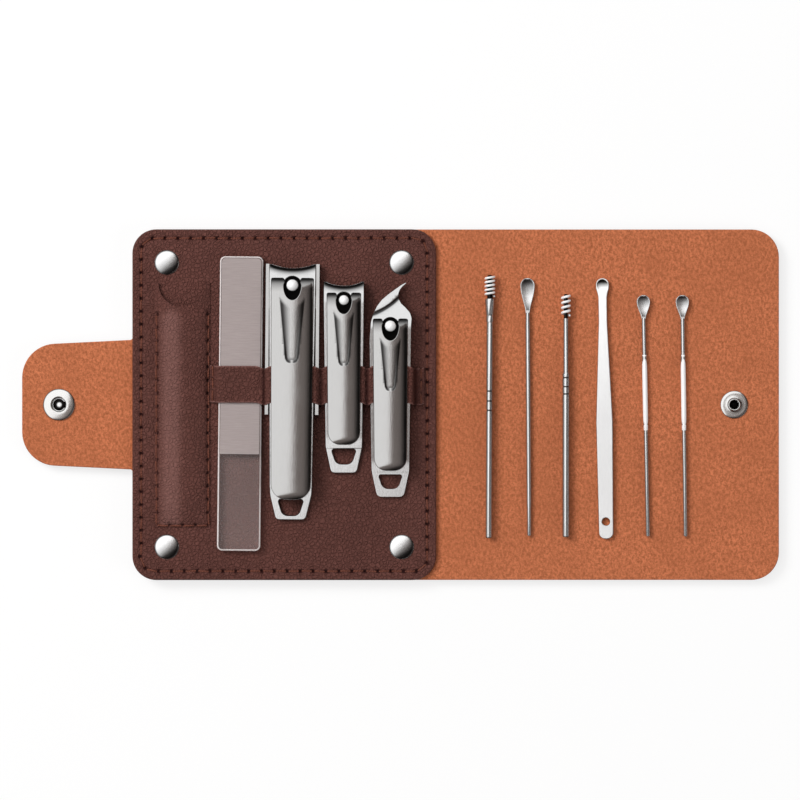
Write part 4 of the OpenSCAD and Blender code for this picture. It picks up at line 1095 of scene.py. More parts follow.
class MANICURE_OT_fittings(bpy.types.Operator):
    """The domed rivets at the panel's corners and the two halves of the press stud"""
    bl_idname = "manicure.fittings"
    bl_label = "Fittings"

    def execute(self, context):
        low, high = node_box("rivet_caps")
        r = 3.85
        caps = []
        for x in (low.x + r, high.x - r):
            for y in (low.y + r, high.y - r):
                profile = [(0, low.z + 0.02), (r - 0.2, low.z + 0.02), (r - 0.03, low.z + 0.06),
                           (r, low.z + 0.12), (r - 0.04, low.z + 0.18)]
                profile += [((r - 0.12) * math.cos(t), low.z + 0.17 + 0.58 * math.sin(t))
                            for t in np.linspace(0.12, math.pi / 2 - 0.05, 14)]
                caps.append(turned(profile + [(0, high.z)], (x, y), 56))
        points, faces = joined(*caps)
        p = np.array(points, float)
        x = p[:, 0] - np.where(p[:, 0] > PANEL_MID, high.x - r, low.x + r)
        y = p[:, 1] - np.where(p[:, 1] > 0, high.y - r, low.y + r)
        lit = (x * 0.5 - y * 0.86) / r
        shadow = np.clip(lit * 0.95 + 0.36, 0, 0.94) ** 1.2 * (np.hypot(x, y) < r - 0.3)
        show("rivet_domes", (points, faces), "dome_steel", "case", "bright_steel",
             ["rivet_caps"], shadow=shadow)

        low, high = node_box("snap_socket")
        z, mid, r = Z_SUEDE, ((low.x + high.x) / 2, 0), (high.x - low.x) / 2
        ring([(2.1, low.z + 0.3), (2.1, low.z + 0.05), (2.7, low.z + 0.05), (2.75, z + 0.02),
              (r - 0.2, z + 0.02), (r, z + 0.12), (r + 0.02, z + 0.26), (r - 0.12, z + 0.42),
              (r - 0.45, z + 0.53), (r - 1.0, z + 0.60), (r - 1.7, z + 0.66), (2.75, z + 0.70),
              (2.4, z + 0.69), (2.22, z + 0.58), (2.12, z + 0.35), (2.1, z)],
             mid, "snap_socket_ring", "nickel", "tab_flap", ["snap_socket"])
        # Painted shade over the socket's floor, all but a bright dot at its middle, which is a
        # painted reflection.
        floor, faces = turned([(0, low.z + 0.1), (2.08, low.z + 0.1), (2.08, low.z + 0.28),
                               (1.3, low.z + 0.3), (0.9, low.z + 0.32), (0.45, low.z + 0.34),
                               (0, low.z + 0.34)], mid, 40)
        show("snap_socket_floor", (floor, faces), "pearl_steel", "tab_flap",
             "dark_polished_steel", shadow=[float(math.dist(p[:2], mid) > 0.6) for p in floor])

        low, high = node_box("snap_post")
        mid, r = ((low.x + high.x) / 2, 0), (high.x - low.x) / 2
        bore = 1.38
        ring([(bore, low.z + 0.25), (bore, low.z + 0.05), (1.85, low.z + 0.05), (1.9, z + 0.02),
              (r - 0.2, z + 0.02), (r - 0.02, z + 0.10), (r, z + 0.2), (r - 0.15, z + 0.34),
              (r - 0.5, z + 0.42), (r - 1.1, z + 0.44), (2.45, z + 0.42), (2.15, z + 0.48),
              (2.0, z + 0.66), (1.88, z + 0.80), (1.7, z + 0.85), (1.52, z + 0.82),
              (1.42, z + 0.68), (bore, z + 0.45)],
             mid, "snap_post_ring", "nickel", "cover", ["snap_post"])
        # A black plug low in the post's bore: painted shade for its hollow.
        plug = turned([(0, low.z + 0.08), (bore - 0.02, low.z + 0.08),
                       (bore - 0.02, low.z + 0.3), (0, low.z + 0.34)], mid, 40)
        show("snap_post_bore_shade", plug, "black", "cover", "dark_polished_steel")
        for name in ("snap_cap", "snap_stud"):
            keep(name, "nickel")
        keep("snap_spring", "rod_steel")
        keep("rivet_posts", "nickel")
        return {"FINISHED"}


def ring(profile, mid, name, finish, body, nodes):
    """A turned ring whose profile closes on itself."""
    n = 72
    points, faces = turned(profile, mid, n)
    last = len(points) - n
    faces += [(last + k, last + (k + 1) % n, (k + 1) % n, k) for k in range(n)]
    obj = show(name, (points, faces), finish, body, "bright_steel", nodes)
    turn_out(obj.data)


def keep(name, finish):
    """A CAD node whose own shape stays, in a finished material."""
    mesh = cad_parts[name].data
    for i in range(len(mesh.materials)):
        mesh.materials[i] = FINISHES[finish]


FILE_LOW, FILE_HIGH = node_box("nail_file")
GRIT_LOW = node_box("file_grit")[0]
FILE_HALF_W = 6.8
FILE_LEAN = math.asin(((FILE_HIGH.x - FILE_LOW.x) - 2 * FILE_HALF_W)
                      / (FILE_HIGH.y - FILE_LOW.y))


class MANICURE_OT_file(bpy.types.Operator):
    """The glass nail file: polished edges, and an etched face that stops above its clear handle"""
    bl_idname = "manicure.file"
    bl_label = "Glass file"

    def execute(self, context):
        mid = ((FILE_LOW.x + FILE_HIGH.x) / 2, (FILE_LOW.y + FILE_HIGH.y) / 2)
        half_h = (FILE_HIGH.y - FILE_LOW.y) / 2 / math.cos(FILE_LEAN) - 0.08
        wide = FILE_HALF_W - 0.03
        body = rounded(box_loop(-wide, wide, -half_h, half_h), [1.7] * 4, 10)
        turn = Matrix.Rotation(-FILE_LEAN, 2)
        lay = [tuple(turn @ Vector(p) + Vector(mid)) for p in spaced(body, 2.0)]
        glass = plate(lay, FILE_HIGH.z, FILE_LOW.z + 0.02, edge=0.6, step=(3, 3), margin=1.0)
        show("glass_file", glass, "clear_glass", "file", "glass", ["nail_file"])
        low = GRIT_LOW.y - mid[1]
        side, end = wide - 0.62, half_h - 0.62
        top = rounded([(-side, low), (side, low), (side, end), (-side, end)],
                      [0.2, 0.2, 1.25, 1.25], 8)
        face = [tuple(turn @ Vector(p) + Vector(mid)) for p in spaced(top, 2.0)]
        grit = plate(face, FILE_HIGH.z + 0.05, FILE_HIGH.z + 0.005, edge=0.04, step=(2, 2),
                     margin=0.5)
        show("etched_face", grit, "etched_glass", "file", "etched_grit", ["file_grit"])
        return {"FINISHED"}


# ---------------------------------------------------------------- the clippers

ARM_BASE = 0.1          # from the panel up to the lower arm
JAW_HOLLOW = 1.5        # how far a straight jaw's middle lies behind its corners


class Clipper:
    """A clipper's sizes in its own frame: its pin at the origin, its jaws toward +Y.

    w and t are an arm's width and thickness, and open is the gap between the arms. jaw, tail and
    hinge are how far those lie from the pin, and lever and dish how far the lever's end and its
    thumb dish's end do. hole is the tail's opening: its width, and its top and foot from the end.
    """

    def __init__(self, name, at, lean, w, t, open, jaw, tail, hinge, ball, lever_w, lever, dish,
                 hole):
        self.name, self.at, self.lean = name, at, math.radians(-lean)
        self.w, self.t, self.open, self.jaw, self.tail = w, t, open, jaw, tail
        self.hinge, self.ball, self.hole = hinge, ball, hole
        self.lever_w, self.lever, self.dish = lever_w, lever, dish
        self.arm_top = ARM_BASE + 2 * t + open
        self.well = (ball / 2 + 0.95, ball / 2 + 1.05, ball / 2 + 2.55)
        self.hooked = name == "slant"

    def slot(self, grow, n=44):
        """The opening round the pin: round ahead of it and longer behind it."""
        wide, ahead, behind = (v + grow for v in self.well)
        return [(wide * math.cos(a), (ahead if math.sin(a) > 0 else behind) * math.sin(a))
                for a in np.linspace(2 * math.pi, 0, n, endpoint=False)]

    def show(self, label, made, finish, body, slot, nodes=(), **marks):
        placed = laid(made[0], self.at, self.lean, Z_TOP)
        show(f"{self.name}_{label}", (placed, *made[1:]), finish, f"{self.name}_{body}", slot,
             nodes, **marks)


CLIPPERS = (
    Clipper("big", (-33.65, 37.1), 0.5, w=14.5, t=1.3, open=1.7, jaw=7.0, tail=73.1, hinge=60.1,
            ball=3.9, lever_w=13.4, lever=66.7, dish=24.1, hole=(8.1, 6.4, 1.3)),
    Clipper("small", (-17.65, 32.5), 0.0, w=12.6, t=1.1, open=1.6, jaw=6.1, tail=53.9, hinge=42.9,
            ball=3.3, lever_w=10.8, lever=45.0, dish=20.4, hole=(7.8, 7.5, 2.8)),
    Clipper("slant", (-3.15, 24.4), 0.0, w=12.9, t=1.15, open=2.35, jaw=13.7, tail=53.2,
            hinge=42.2, ball=3.7, lever_w=11.0, lever=45.0, dish=20.1, hole=(7.8, 7.0, 2.5)),
)


def steps_along(y, pairs):
    """Straight runs between (y, height) pairs, with their corners eased."""
    at, level = zip(*sorted(pairs))
    return sum(np.interp(y + d, at, level) for d in (-0.5, -0.25, 0, 0.25, 0.5)) / 5


def arm_outline(c, tail):
    """An arm seen from above: a hollow or hooked jaw, straight sides, and a tail drawn in."""
    w, end = c.w, c.tail
    if not c.hooked:
        r = r_jaw(c)
        half = math.degrees(math.asin(w / 2 / r))
        jaw = arc((0, c.jaw - JAW_HOLLOW + r), r, -90 + half, -90 - half, 24)
        sides = rounded([(-w / 2, 0), (-w * 0.455, -(end - 8)), (-w * 0.32, -end),
                         (w * 0.32, -end), (w * 0.455, -(end - 8)), (w / 2, 0)],
                        [0, 12, 1.6, 1.6, 12, 0])
        corner_x, corner_y = w / 2 - 0.02, c.jaw - 0.25
        loop = [(corner_x, corner_y)] + jaw[1:-1] + [(-corner_x, corner_y)] + sides
    else:
        loop = rounded([(-w * 0.32, -end), (w * 0.32, -end), (w * 0.455, -(end - 8)), (w * 0.5, 0),
                        (w * 0.515, 2.6), (6.1, 4.3), (4.7, 5.9), (3.3, 7.2), (2.6, 8.6),
                        (2.5, 10.2), (2.95, 11.4), (3.8, 12.5), (4.95, 13.45), (4.75, 13.68),
                        (3.4, 12.95), (1.5, 11.6), (-0.7, 10.0), (-2.7, 8.3), (-4.2, 6.3),
                        (-5.4, 3.8), (-6.1, 1.2), (-w * 0.5, -4.5), (-w * 0.455, -(end - 8))],
                       [1.6, 1.6, 12, 4, 3, 2, 2, 1.5, 1, 1, 1, 2, 0.1, 0.1, 3, 5, 5, 4, 4, 4, 5,
                        6, 12], 5)
    return [p for p in spaced(loop, 0.6) if p[1] > -tail or tail == end]


def r_jaw(c):
    """The radius of a straight clipper's hollow cutting edge."""
    return (c.w * c.w / 4 + JAW_HOLLOW ** 2) / (2 * JAW_HOLLOW)


def jaw_gap(c, x, y):
    """How far a point is behind a straight clipper's hollow cutting edge."""
    return np.hypot(x, y - (c.jaw - JAW_HOLLOW + r_jaw(c))) - r_jaw(c)


def fold_at(x):
    """The fold across the slant clipper's beak."""
    return 3.3 + 0.62 * (x + 5.4) + 0.035 * (x + 1.4) ** 2


def upper_arm(c):
    """The sprung arm on top, rolled over at its cutting edge."""
    hinge, front, level = c.hinge, c.jaw, ARM_BASE + c.t + c.open
    spot, spot_top = ARM_BASE + c.t + 0.1, ARM_BASE + 2 * c.t + 0.1
    tops = [(-hinge - 3.5, spot_top), (-hinge, spot_top), (0, c.arm_top)]
    lows = [(-hinge - 3.5, spot), (-hinge, spot), (0, level)]
    if c.hooked:
        tops += [(1.2, c.arm_top - 0.05), (front * 0.45, c.arm_top - 1.0),
                 (front * 0.58, c.arm_top - 1.35), (front, level - 0.4)]
        lows += [(front, level - 0.9)]
    else:
        tops += [(1.0, c.arm_top - 0.04), (front - 2.2, c.arm_top - 0.42),
                 (front - 1.0, level + 0.5), (front + 1, level + 0.4)]
        lows += [(front + 1, level - 0.15)]

    def top(x, y):
        if c.hooked:
            return steps_along(y, tops) - 0.2 * np.exp(-((y - fold_at(x)) / 0.5) ** 2)
        return steps_along(y, tops) - 0.55 * limit(1 - jaw_gap(c, x, y) / 1.15) ** 1.8

    def low(x, y):
        return np.minimum(steps_along(y, lows), top(x, y) - 0.1)

    if c.hooked:
        dots = [(x, fold_at(x) + d) for x in np.arange(-6.2, 3.4, 0.2)
                for d in (-0.95, -0.6, -0.36, -0.18, 0, 0.18, 0.36, 0.6, 0.95)]
    else:
        r = r_jaw(c)
        dots = [(x, c.jaw - JAW_HOLLOW + r - math.sqrt(r ** 2 - x * x) - d)
                for x in np.arange(-c.w * 0.46, c.w * 0.46, 0.45)
                for d in (0.7, 1.0, 1.35, 1.75, 2.2)]
    return plate(arm_outline(c, hinge + 3.4), top, low, holes=[c.slot(0.0)],
                 edge=0.07 if c.hooked else 0.17, low_edge=0.07, step=(0.7, 0.9), dots=dots,
                 margin=0.4)


def lower_arm(c):
    """The flat arm beneath, that ends in the tail and its D-shaped hole."""
    front, base, level = c.jaw, ARM_BASE, ARM_BASE + c.t
    if c.hooked:
        tops = [(-c.tail, level), (2, level), (4, level + 0.3), (front, level + 0.3)]
        lows = [(-c.tail, base), (2, base), (4, base + 0.7), (front, base + 0.9)]
    else:
        tops = [(-c.tail, level), (front - 4, level), (front - 1, level + 0.45),
                (front + 1, level + 0.45)]
        lows = [(-c.tail, base), (front - 4, base), (front - 1.5, base + 0.4),
                (front + 1, base + 1)]
    w, top_y, end_y = c.hole
    hole = rounded([(-w / 2, top_y - c.tail), (w / 2, top_y - c.tail),
                    (w * 0.3, end_y - c.tail), (-w * 0.3, end_y - c.tail)],
                   [0.7, 0.7, 2.3, 2.3], 10)
    return plate(arm_outline(c, c.tail), lambda x, y: steps_along(y, tops),
                 lambda x, y: steps_along(y, lows),
                 holes=[spaced(hole, 0.5), hole_loop((0, 0), 1.45, 20)],
                 edge=0.07 if c.hooked else 0.24, low_edge=0.07, step=(1.1, 1.3), margin=0.4)


def lever_bar(c):
    """A lever: a round-backed bar, rolled down at its two shoulders and notched for the pin.
    It has a long thumb dish. The second result is painted shade on the dish's walls,
    on the shoulders and down the right side, left off at the dish's end for a painted highlight."""
    half, nose, tail = c.lever_w / 2, 2.45, c.lever
    z0 = c.arm_top + 0.3
    z_top = z0 + 1.2
    gap, behind = c.ball / 2 + 0.75, c.well[2]
    mouth = gap * 0.92
    left = rounded([(-mouth, nose - 2), (-mouth, nose), (-half, nose), (-half * 0.92, -tail),
                    (half * 0.92, -tail), (half, nose), (mouth, nose), (mouth, nose - 2)],
                   [0, 0.75, 0.6, half * 0.72, half * 0.72, 0.6, 0.75, 0], 10)[1:-1]
    notch = [(gap * math.sin(a), -behind * math.cos(a) if math.cos(a) > 0
              else -behind * 0.45 * math.cos(a))
             for a in np.linspace(math.radians(118), math.radians(-118), 30)]
    outline = spaced(left + notch, 0.55)
    dish_top, dish_end = behind - 0.5, c.dish
    wide, narrow = 0.585 * half, 0.30 * half

    def taper(y):
        t = limit((-dish_top - y) / (dish_end - dish_top))
        return wide + (narrow - wide) * t

    def dish(x, y):
        """How deep the thumb dish is, how near a point is to its wall, how far in and down."""
        across = np.abs(x / taper(y))
        down = np.clip((2.3 - y - dish_end) / 2.3, 0, 1.2)
        wall = (across ** 3 + down ** 3) ** (1 / 3)
        start = dish_top - across ** 2 + 1.9 * (1 - across ** 2)
        fall = limit((-dish_top - y) / (dish_end - dish_top))
        return smooth((1 - wall) / 0.36) * fall, wall, smooth((-start - y) / 2.6), down

    def top(x, y):
        s = np.clip((x + 0.06 * half) / half, -1.0, 1.0)
        arch = 1.12 * (np.sqrt(np.maximum(1 - (0.93 * s) ** 2, 0)) - 1)
        roll = limit((y - nose + 3.3) / 3.3)
        end = 0.45 * limit((-tail + 1.8 - y) / 1.8) ** 2
        return z_top + arch * (1 - 0.35 * roll) - 1.2 * roll ** 2.1 - end - 0.08 * dish(x, y)[0]

    def under(x, y):
        return np.minimum(z0 + 0.02, top(x, y) - 0.12)

    lines = []
    for f in (0.5, 0.64, 0.76, 0.88, 0.96, 1.03):
        side = [(-wide * f, -dish_top - 0.9), (-narrow * f, -dish_end + 1.6)]
        lines += [spaced(side, 0.5, closed=False),
                  spaced([(-x, y) for x, y in side], 0.5, closed=False)]
    for f in (-0.93, -0.84, 0.84, 0.93):
        lines.append(spaced([(half * f, nose - 1.6), (half * f * 0.93, -tail + 5.4)], 0.8,
                            closed=False))
    dots = [(x, -dish_end + d) for d in np.linspace(-0.35, 2.2, 12)
            for x in np.linspace(-narrow * 1.15, narrow * 1.15, 17)]
    made = plate(outline, top, under, edge=0.2, low_edge=0.1, step=(0.5, 0.7), lines=lines,
                 dots=dots, margin=0.22)
    x, y, z = made[0].T
    _, s, into, down = dish(x, y)
    on_top = z > z0 - 0.3
    # Painted shade: dark dish walls, darker shoulders under the nose and a darker right side; a
    # bright dot is left at the dish's end.
    wall = 0.96 * limit((s - 0.22) / 0.6) ** 0.85 * limit((1.05 - s) / 0.08)
    tip = 1 - np.exp(-(x / 0.42) ** 2) * (down > 0.6)
    shoulder = 0.93 * limit((y - nose + 4.3) / 4.1) ** 1.15 * (np.abs(x) > gap * 0.8)
    right = 0.55 * limit((x / half - 0.55) / 0.37) ** 1.5 * (x < half * 0.955)
    dark = wall * limit(into * 1.6) * tip
    return made, limit(np.maximum(np.maximum(dark, shoulder), right)) * on_top


def pin_ball(c):
    """The pin's polished ball on its shank."""
    r = c.ball / 2 - 0.02
    axle = c.arm_top + 1.05
    mid = axle - 0.2
    profile = [(0, 0.12), (1.95, 0.12), (2.02, 0.2), (2.02, 0.6), (1.24, 0.72),
               (1.24, mid - r * 0.8)]
    profile += [(r * math.cos(t), mid + r * math.sin(t))
                for t in np.linspace(-0.88, math.pi / 2 - 0.06, 20)]
    return turned(profile + [(0, mid + r)], (0, 0), 48)


class MANICURE_OT_clippers(bpy.types.Operator):
    """Three clippers: satin levers with thumb dishes and painted shade, over bright sprung arms"""
    bl_idname = "manicure.clippers"
    bl_label = "Clippers"

    def execute(self, context):
        for c in CLIPPERS:
            bar, shadow = lever_bar(c)
            c.show("lever_bar", bar, "satin_steel", "lever", "dark_polished_steel",
                   [f"{c.name}_lever"], shadow=shadow)
            arm = upper_arm(c)
            x, y, _ = arm[0].T
            if c.hooked:
                gap = (y - fold_at(x)) / 0.66
                shadow = limit(arm[2]) * (y > 2) * 0.8 + np.exp(-gap ** 2) * (y > 2.5)
            else:
                shadow = limit((2.6 - jaw_gap(c, x, y)) / 1.65) ** 1.4 * (arm[2] < 0.6)
            c.show("top_arm", arm, "polished_steel", "top", "bright_steel",
                   [f"{c.name}_upper_arm"], shadow=np.clip(shadow, 0, 0.95))
            back = lower_arm(c)
            x, y, _ = back[0].T
            w, top_y, end_y = c.hole
            hole = ((np.abs(x) < w / 2 + 0.1) & (y < top_y - c.tail + 0.1)
                    & (y > end_y - c.tail - 0.1))
            c.show("back_arm", back, "polished_steel", "arms", "bright_steel",
                   [f"{c.name}_lower_arm"], shadow=0.85 * limit(back[2] * 2) * hole)
            # A black sheet under the pin's slot: painted shade for the hole round the pin.
            level = ARM_BASE + c.t + c.open
            well = plate(c.slot(0.25)[::-1], level - 0.12, level - 0.4,
                         holes=[hole_loop((0, 0), 1.5, 30)], edge=0.08, step=(0.9, 0.9))
            c.show("pin_hole_shade", well, "black", "top", "dark_polished_steel")
            ball = pin_ball(c)
            x, y, _ = np.array(ball[0]).T
            # Painted shade round the ball's lower side; its near-white finish is a painted
            # reflection.
            low_side = limit((np.hypot(x, y - 0.12) / (c.ball / 2) - 0.84) / 0.12)
            c.show("pin_ball", ball, "highlight_white_steel", "pin", "bright_steel", [f"{c.name}_pin"],
                   shadow=low_side)
            keep(f"{c.name}_tail_rivet", "dark_steel")
        keep("big_guard", "satin_steel")
        return {"FINISHED"}


# ---------------------------------------------------------------- the ear picks

SUEDE_X = 25.65         # the picks' places are measured from here
GROOVE_DEPTH = 0.15
GROOVES_FROM = 25.5     # the rods are plain, or have a ferrule, nearer to their tips than this


def tube_along(path, r, sides=12, tip=0.0):
    """A closed round tube along a path, its ends drawn in by the tip."""
    p = np.asarray(path, float)
    d = unit(np.gradient(p, axis=0))
    up = np.array([1.0, 0.0, 0.0]) if abs(d[0][2]) > 0.9 else np.array([0.0, 0.0, 1.0])
    u = np.cross(d[0], up)
    points = []
    for i in range(len(p)):
        u = u - d[i] * (u @ d[i])
        u = u / np.linalg.norm(u)
        v = np.cross(d[i], u)
        size = r * (1 - tip * max(0, 1 - min(i, len(p) - 1 - i) / 2))
        points += [tuple(p[i] + size * (u * math.cos(a) + v * math.sin(a)))
                   for a in np.linspace(0, 2 * math.pi, sides, endpoint=False)]
    return points, rings(len(p), sides)


def on_suede(points, at):
    """From a pick's own frame, its tip at the origin and its length toward -Y, to the suede."""
    x, y, lean = at
    return laid(points, (SUEDE_X + x, y), math.radians(lean), Z_SUEDE + 0.05)


def helix(r, pitch, turns, start, mid_z):
    """The wire's path: full turns, drawn in tangentially at both ends."""
    a = np.linspace(0, 2 * math.pi * turns, int(40 * turns) + 1)
    path = np.stack([r * np.cos(a), -(start + pitch * a / (2 * math.pi)),
                     mid_z + r * np.sin(a)], 1)
    first = path[0] - path[1]
    last = path[-1] - path[-2]
    return np.concatenate([[path[0] + first * 0.8], path, [path[-1] + last * 0.8]])


def lay_pick(name, label, made, at, finish, slot="bright_steel", nodes=(), angle=40, **marks):
    """One piece of a pick, laid on the suede, and sharp at edges that turn by more than angle."""
    obj = show(f"{name}_{label}", (on_suede(made[0], at), made[1]), finish, f"{name}_pick", slot,
               nodes, **marks)
    turn_out(obj.data)
    obj.data.set_sharp_from_angle(angle=math.radians(angle))


def lathe_rod(stations, mid_z, sides=20):
    """A rod along -Y from (distance, radius) stations."""
    points = [(r * math.cos(a), -s, mid_z + r * math.sin(a)) for s, r in stations
              for a in np.linspace(0, 2 * math.pi, sides, endpoint=False)]
    return points, [face[::-1] for face in rings(len(stations), sides)]


def side_shade(points, mid_z):
    """Painted shade: a rod's two sides are darker than its crown."""
    return [0.8 * min(1.0, max(0.0, (abs(p[0]) / max(math.hypot(p[0], p[2] - mid_z), 0.01) - 0.7)
                               / 0.25)) for p in points]


def grooves(places, r, wide=0.5):
    """The (distance, radius) rows of the rings cut round a rod, each ending at its place."""
    floor = r - GROOVE_DEPTH
    return [row for s in places for row in
            ((s - wide, r), (s - wide + 0.05, floor), (s - 0.05, floor), (s, r))]


def spoon_head(w, l, neck, thick):
    """A spoon's bowl, a drop-shaped plate with a rim round a hollow, and the shade painted in the
    hollow that leaves the rim bright.
    """
    a = w / 2
    side = [(a * math.sin(t), -a + a * math.cos(t)) for t in np.linspace(0, math.pi / 2, 12)]

    def drawn_in(k):
        return neck + (a - neck) * (0.5 + 0.5 * np.cos(np.pi * k)) ** 0.85

    right = side + [(drawn_in(k), -a - (l - a) * k) for k in np.linspace(0.06, 1, 18)]
    loop = (right + [(-x, y) for x, y in right[::-1] if x > 1e-6])[::-1]

    def bowl(x, y):
        """How deep the hollow is, 0 to 1, and whether a point is in it."""
        k = limit((-y - a) / (l - a))
        half = np.where(y > -a, np.sqrt(np.maximum(a * a - (y + a) ** 2, 1e-6)), drawn_in(k))
        s = limit(np.abs(x) / np.maximum(half - 0.18, 0.1))
        end = limit((-y - 0.22) / (a * 0.9)) * limit((y + l * 0.93) / (l * 0.42))
        hollow = (1 - s ** 2) * np.sqrt(limit(end)) * limit(half / a)
        return hollow, limit((1 - s) / 0.12) * limit(end / 0.04)

    def top(x, y):
        return thick - 0.11 * bowl(x, y)[0]

    def low(x, y):
        return np.minimum(0.02 + 0 * x, top(x, y) - 0.1)

    points, faces, near = plate(spaced(loop, 0.35), top, low, edge=0.14, low_edge=0.12,
                                step=(0.22, 0.3), margin=0.12)
    x, y, z = points.T
    # Painted shade in the hollow: darkest at its top, light in the middle, dark again toward its
    # end.
    deep = limit(1.22 + y / (l * 0.44)) ** 1.1 + limit(-y / l * 3.6 - 2.4)
    dark = bowl(x, y)[1] * deep * (z > thick - 0.6)
    return (points, faces), np.clip(dark, 0, 0.97) * (near < 0.3)


class MANICURE_OT_picks(bpy.types.Operator):
    """Six ear picks on the suede: two wound heads, three spoons and a round blade"""
    bl_idname = "manicure.picks"
    bl_label = "Ear picks"

    def execute(self, context):
        for name, at, wire, turns, pitch, length, r, marks in (
                ("coil", (2.3, 40.5, -0.26), 0.35, 5, 1.22, 82.2, 1.0, (36.5, 39.6, 42.5)),
                ("spiral", (26.05, 34.6, 0.0), 0.4, 4, 1.55, 76.0, 1.1, (26.4, 29.2, 31.5))):
            low, high = node_box(f"{name}_pick_coil")
            mid = (high.z - low.z) / 2
            wound = tube_along(helix(mid - wire, pitch, turns, 0.5, mid), wire, 12, 0.3)
            lay_pick(name, "wire", wound, at, "highlight_white_steel", "spring_wire",
                     [f"{name}_pick_coil"], angle=180)
            core = (mid - wire) * math.cos(math.pi / 8) - wire - 0.05
            head = 0.5 + turns * pitch + 2 * wire + 0.1
            if name == "coil":
                rows = [(0, core * 0.7), (0.2, core), (head, core), (head + 0.02, r + 0.42),
                        (head + 0.3, r + 0.5), (head + 5.1, r + 0.2), (head + 5.25, r + 0.06),
                        (head + 5.4, r + 0.06), (head + 5.5, r + 0.13), (head + 7.2, r + 0.13),
                        (head + 7.35, r - 0.06), (head + 7.5, r - 0.06), (head + 7.6, r)]
            else:
                rows = [(0, core * 0.7), (0.2, core), (head, core), (head + 0.02, r - 0.32),
                        (24.5, r - 0.3), (25.0, r - 0.02)]
            rows += grooves(marks, r) + [(length - 0.5, r), (length - 0.12, r - 0.12),
                                         (length, r * 0.62)]
            rod = lathe_rod(rows, mid)
            x, y, z = np.array(rod[0]).T
            far = np.hypot(x, z - mid)
            in_groove = (y < -GROOVES_FROM) & (far > 0.8 * r) & (far < r - GROOVE_DEPTH * 2 / 3)
            shadow = np.where(in_groove, 0.85, side_shade(rod[0], mid))
            lay_pick(name, "rod", rod, at, "rod_steel", nodes=[f"{name}_pick_rod"],
                     shadow=np.where(y > -head - 0.01, 1.0, shadow))
        for name, at, w, l, waist, length in (
                ("large", (14.05, 39.6, 0.4), 4.5, 11.0, (2, 60), 80.6),
                ("narrow", (50.25, 34.3, 1.14), 4.2, 7.5, (11, 33), 75.5),
                ("slim", (62.45, 34.3, 0.8), 4.2, 7.5, (11, 33), 75.5)):
            bowl, shadow = spoon_head(w, l, 0.66, 1.3)
            start = l - 0.35
            rows = [(start, 0.3), (start + 0.1, 0.56), (start + 0.7, 0.64),
                    (l + waist[0], 0.64), (l + waist[0] + 1, 0.75), (l + waist[1], 0.75),
                    (l + waist[1] + 1, 0.64), (length - 0.3, 0.64), (length, 0.4)]
            rod = lathe_rod(rows, 0.75, 16)
            lay_pick(name, "spoon", joined(bowl, rod), at, "rod_steel",
                     nodes=[f"{name}_spoon_pick"],
                     shadow=list(shadow) + side_shade(rod[0], 0.75))
            if waist[0] > 5:
                start, end = l + waist[0], l + waist[1] + 2
                rows = [(start, 0.5), (start + 0.3, 0.66), (start + 5, 0.79), (end - 5, 0.79),
                        (end - 0.3, 0.66), (end, 0.5)]
                lay_pick(name, "grip", lathe_rod(rows, 0.8, 20), at, "highlight_white_steel")
        self.blade()
        return {"FINISHED"}

    @staticmethod
    def blade():
        """The flat pick: a round dished head on a blade that widens toward its hanging hole."""
        l, head, neck, wide, thick = 81.6, 4.1, 2.7, 5.2, 1.2
        half = [(-head / 2, 0), (-head / 2, -head * 0.8), (-neck / 2, -5.5), (-neck / 2, -14),
                (-wide / 2, -45), (-wide * 0.43, -l)]
        loop = rounded(half + [(-x, y) for x, y in half[::-1]],
                       [2, 1.5, 8, 8, 2, 2, 2, 2, 8, 8, 1.5, 2], 8)
        hole = hole_loop((0, -76.2), 1.2, 24)
        head_r = head / 2 - 0.32

        def top(x, y):
            far = np.hypot(x, y + head / 2) / head_r
            return thick - 0.14 * np.sqrt(limit(1 - far ** 2)) + 0.075 * x

        ring = [(head_r * f * math.cos(a), -head / 2 + head_r * f * math.sin(a))
                for f in (0.25, 0.5, 0.7, 0.82, 0.9, 0.96, 1.0)
                for a in np.linspace(0, 2 * math.pi, 28, endpoint=False)]
        points, faces, near = plate(spaced(loop, 0.8), top, 0.02, holes=[hole], edge=0.24,
                                    low_edge=0.12, step=(0.6, 1.2), dots=ring, margin=0.2)
        x, y, z = points.T
        far = np.hypot(x, y + head / 2) / head_r
        shadow = (far < 0.98) * limit(y / head * 2.3 + 1.75) * (near < 0.3)
        shadow = shadow + 0.2 * limit((-y - 8) / 36)
        show("flat_blade", (on_suede(points, (37.45, 39.6, 0.88)), faces), "mirror_steel",
             "flat_pick", "bright_steel", ["flat_spoon_pick"], shadow=shadow * (z > 0.1))


# ---------------------------------------------------------------- the stage

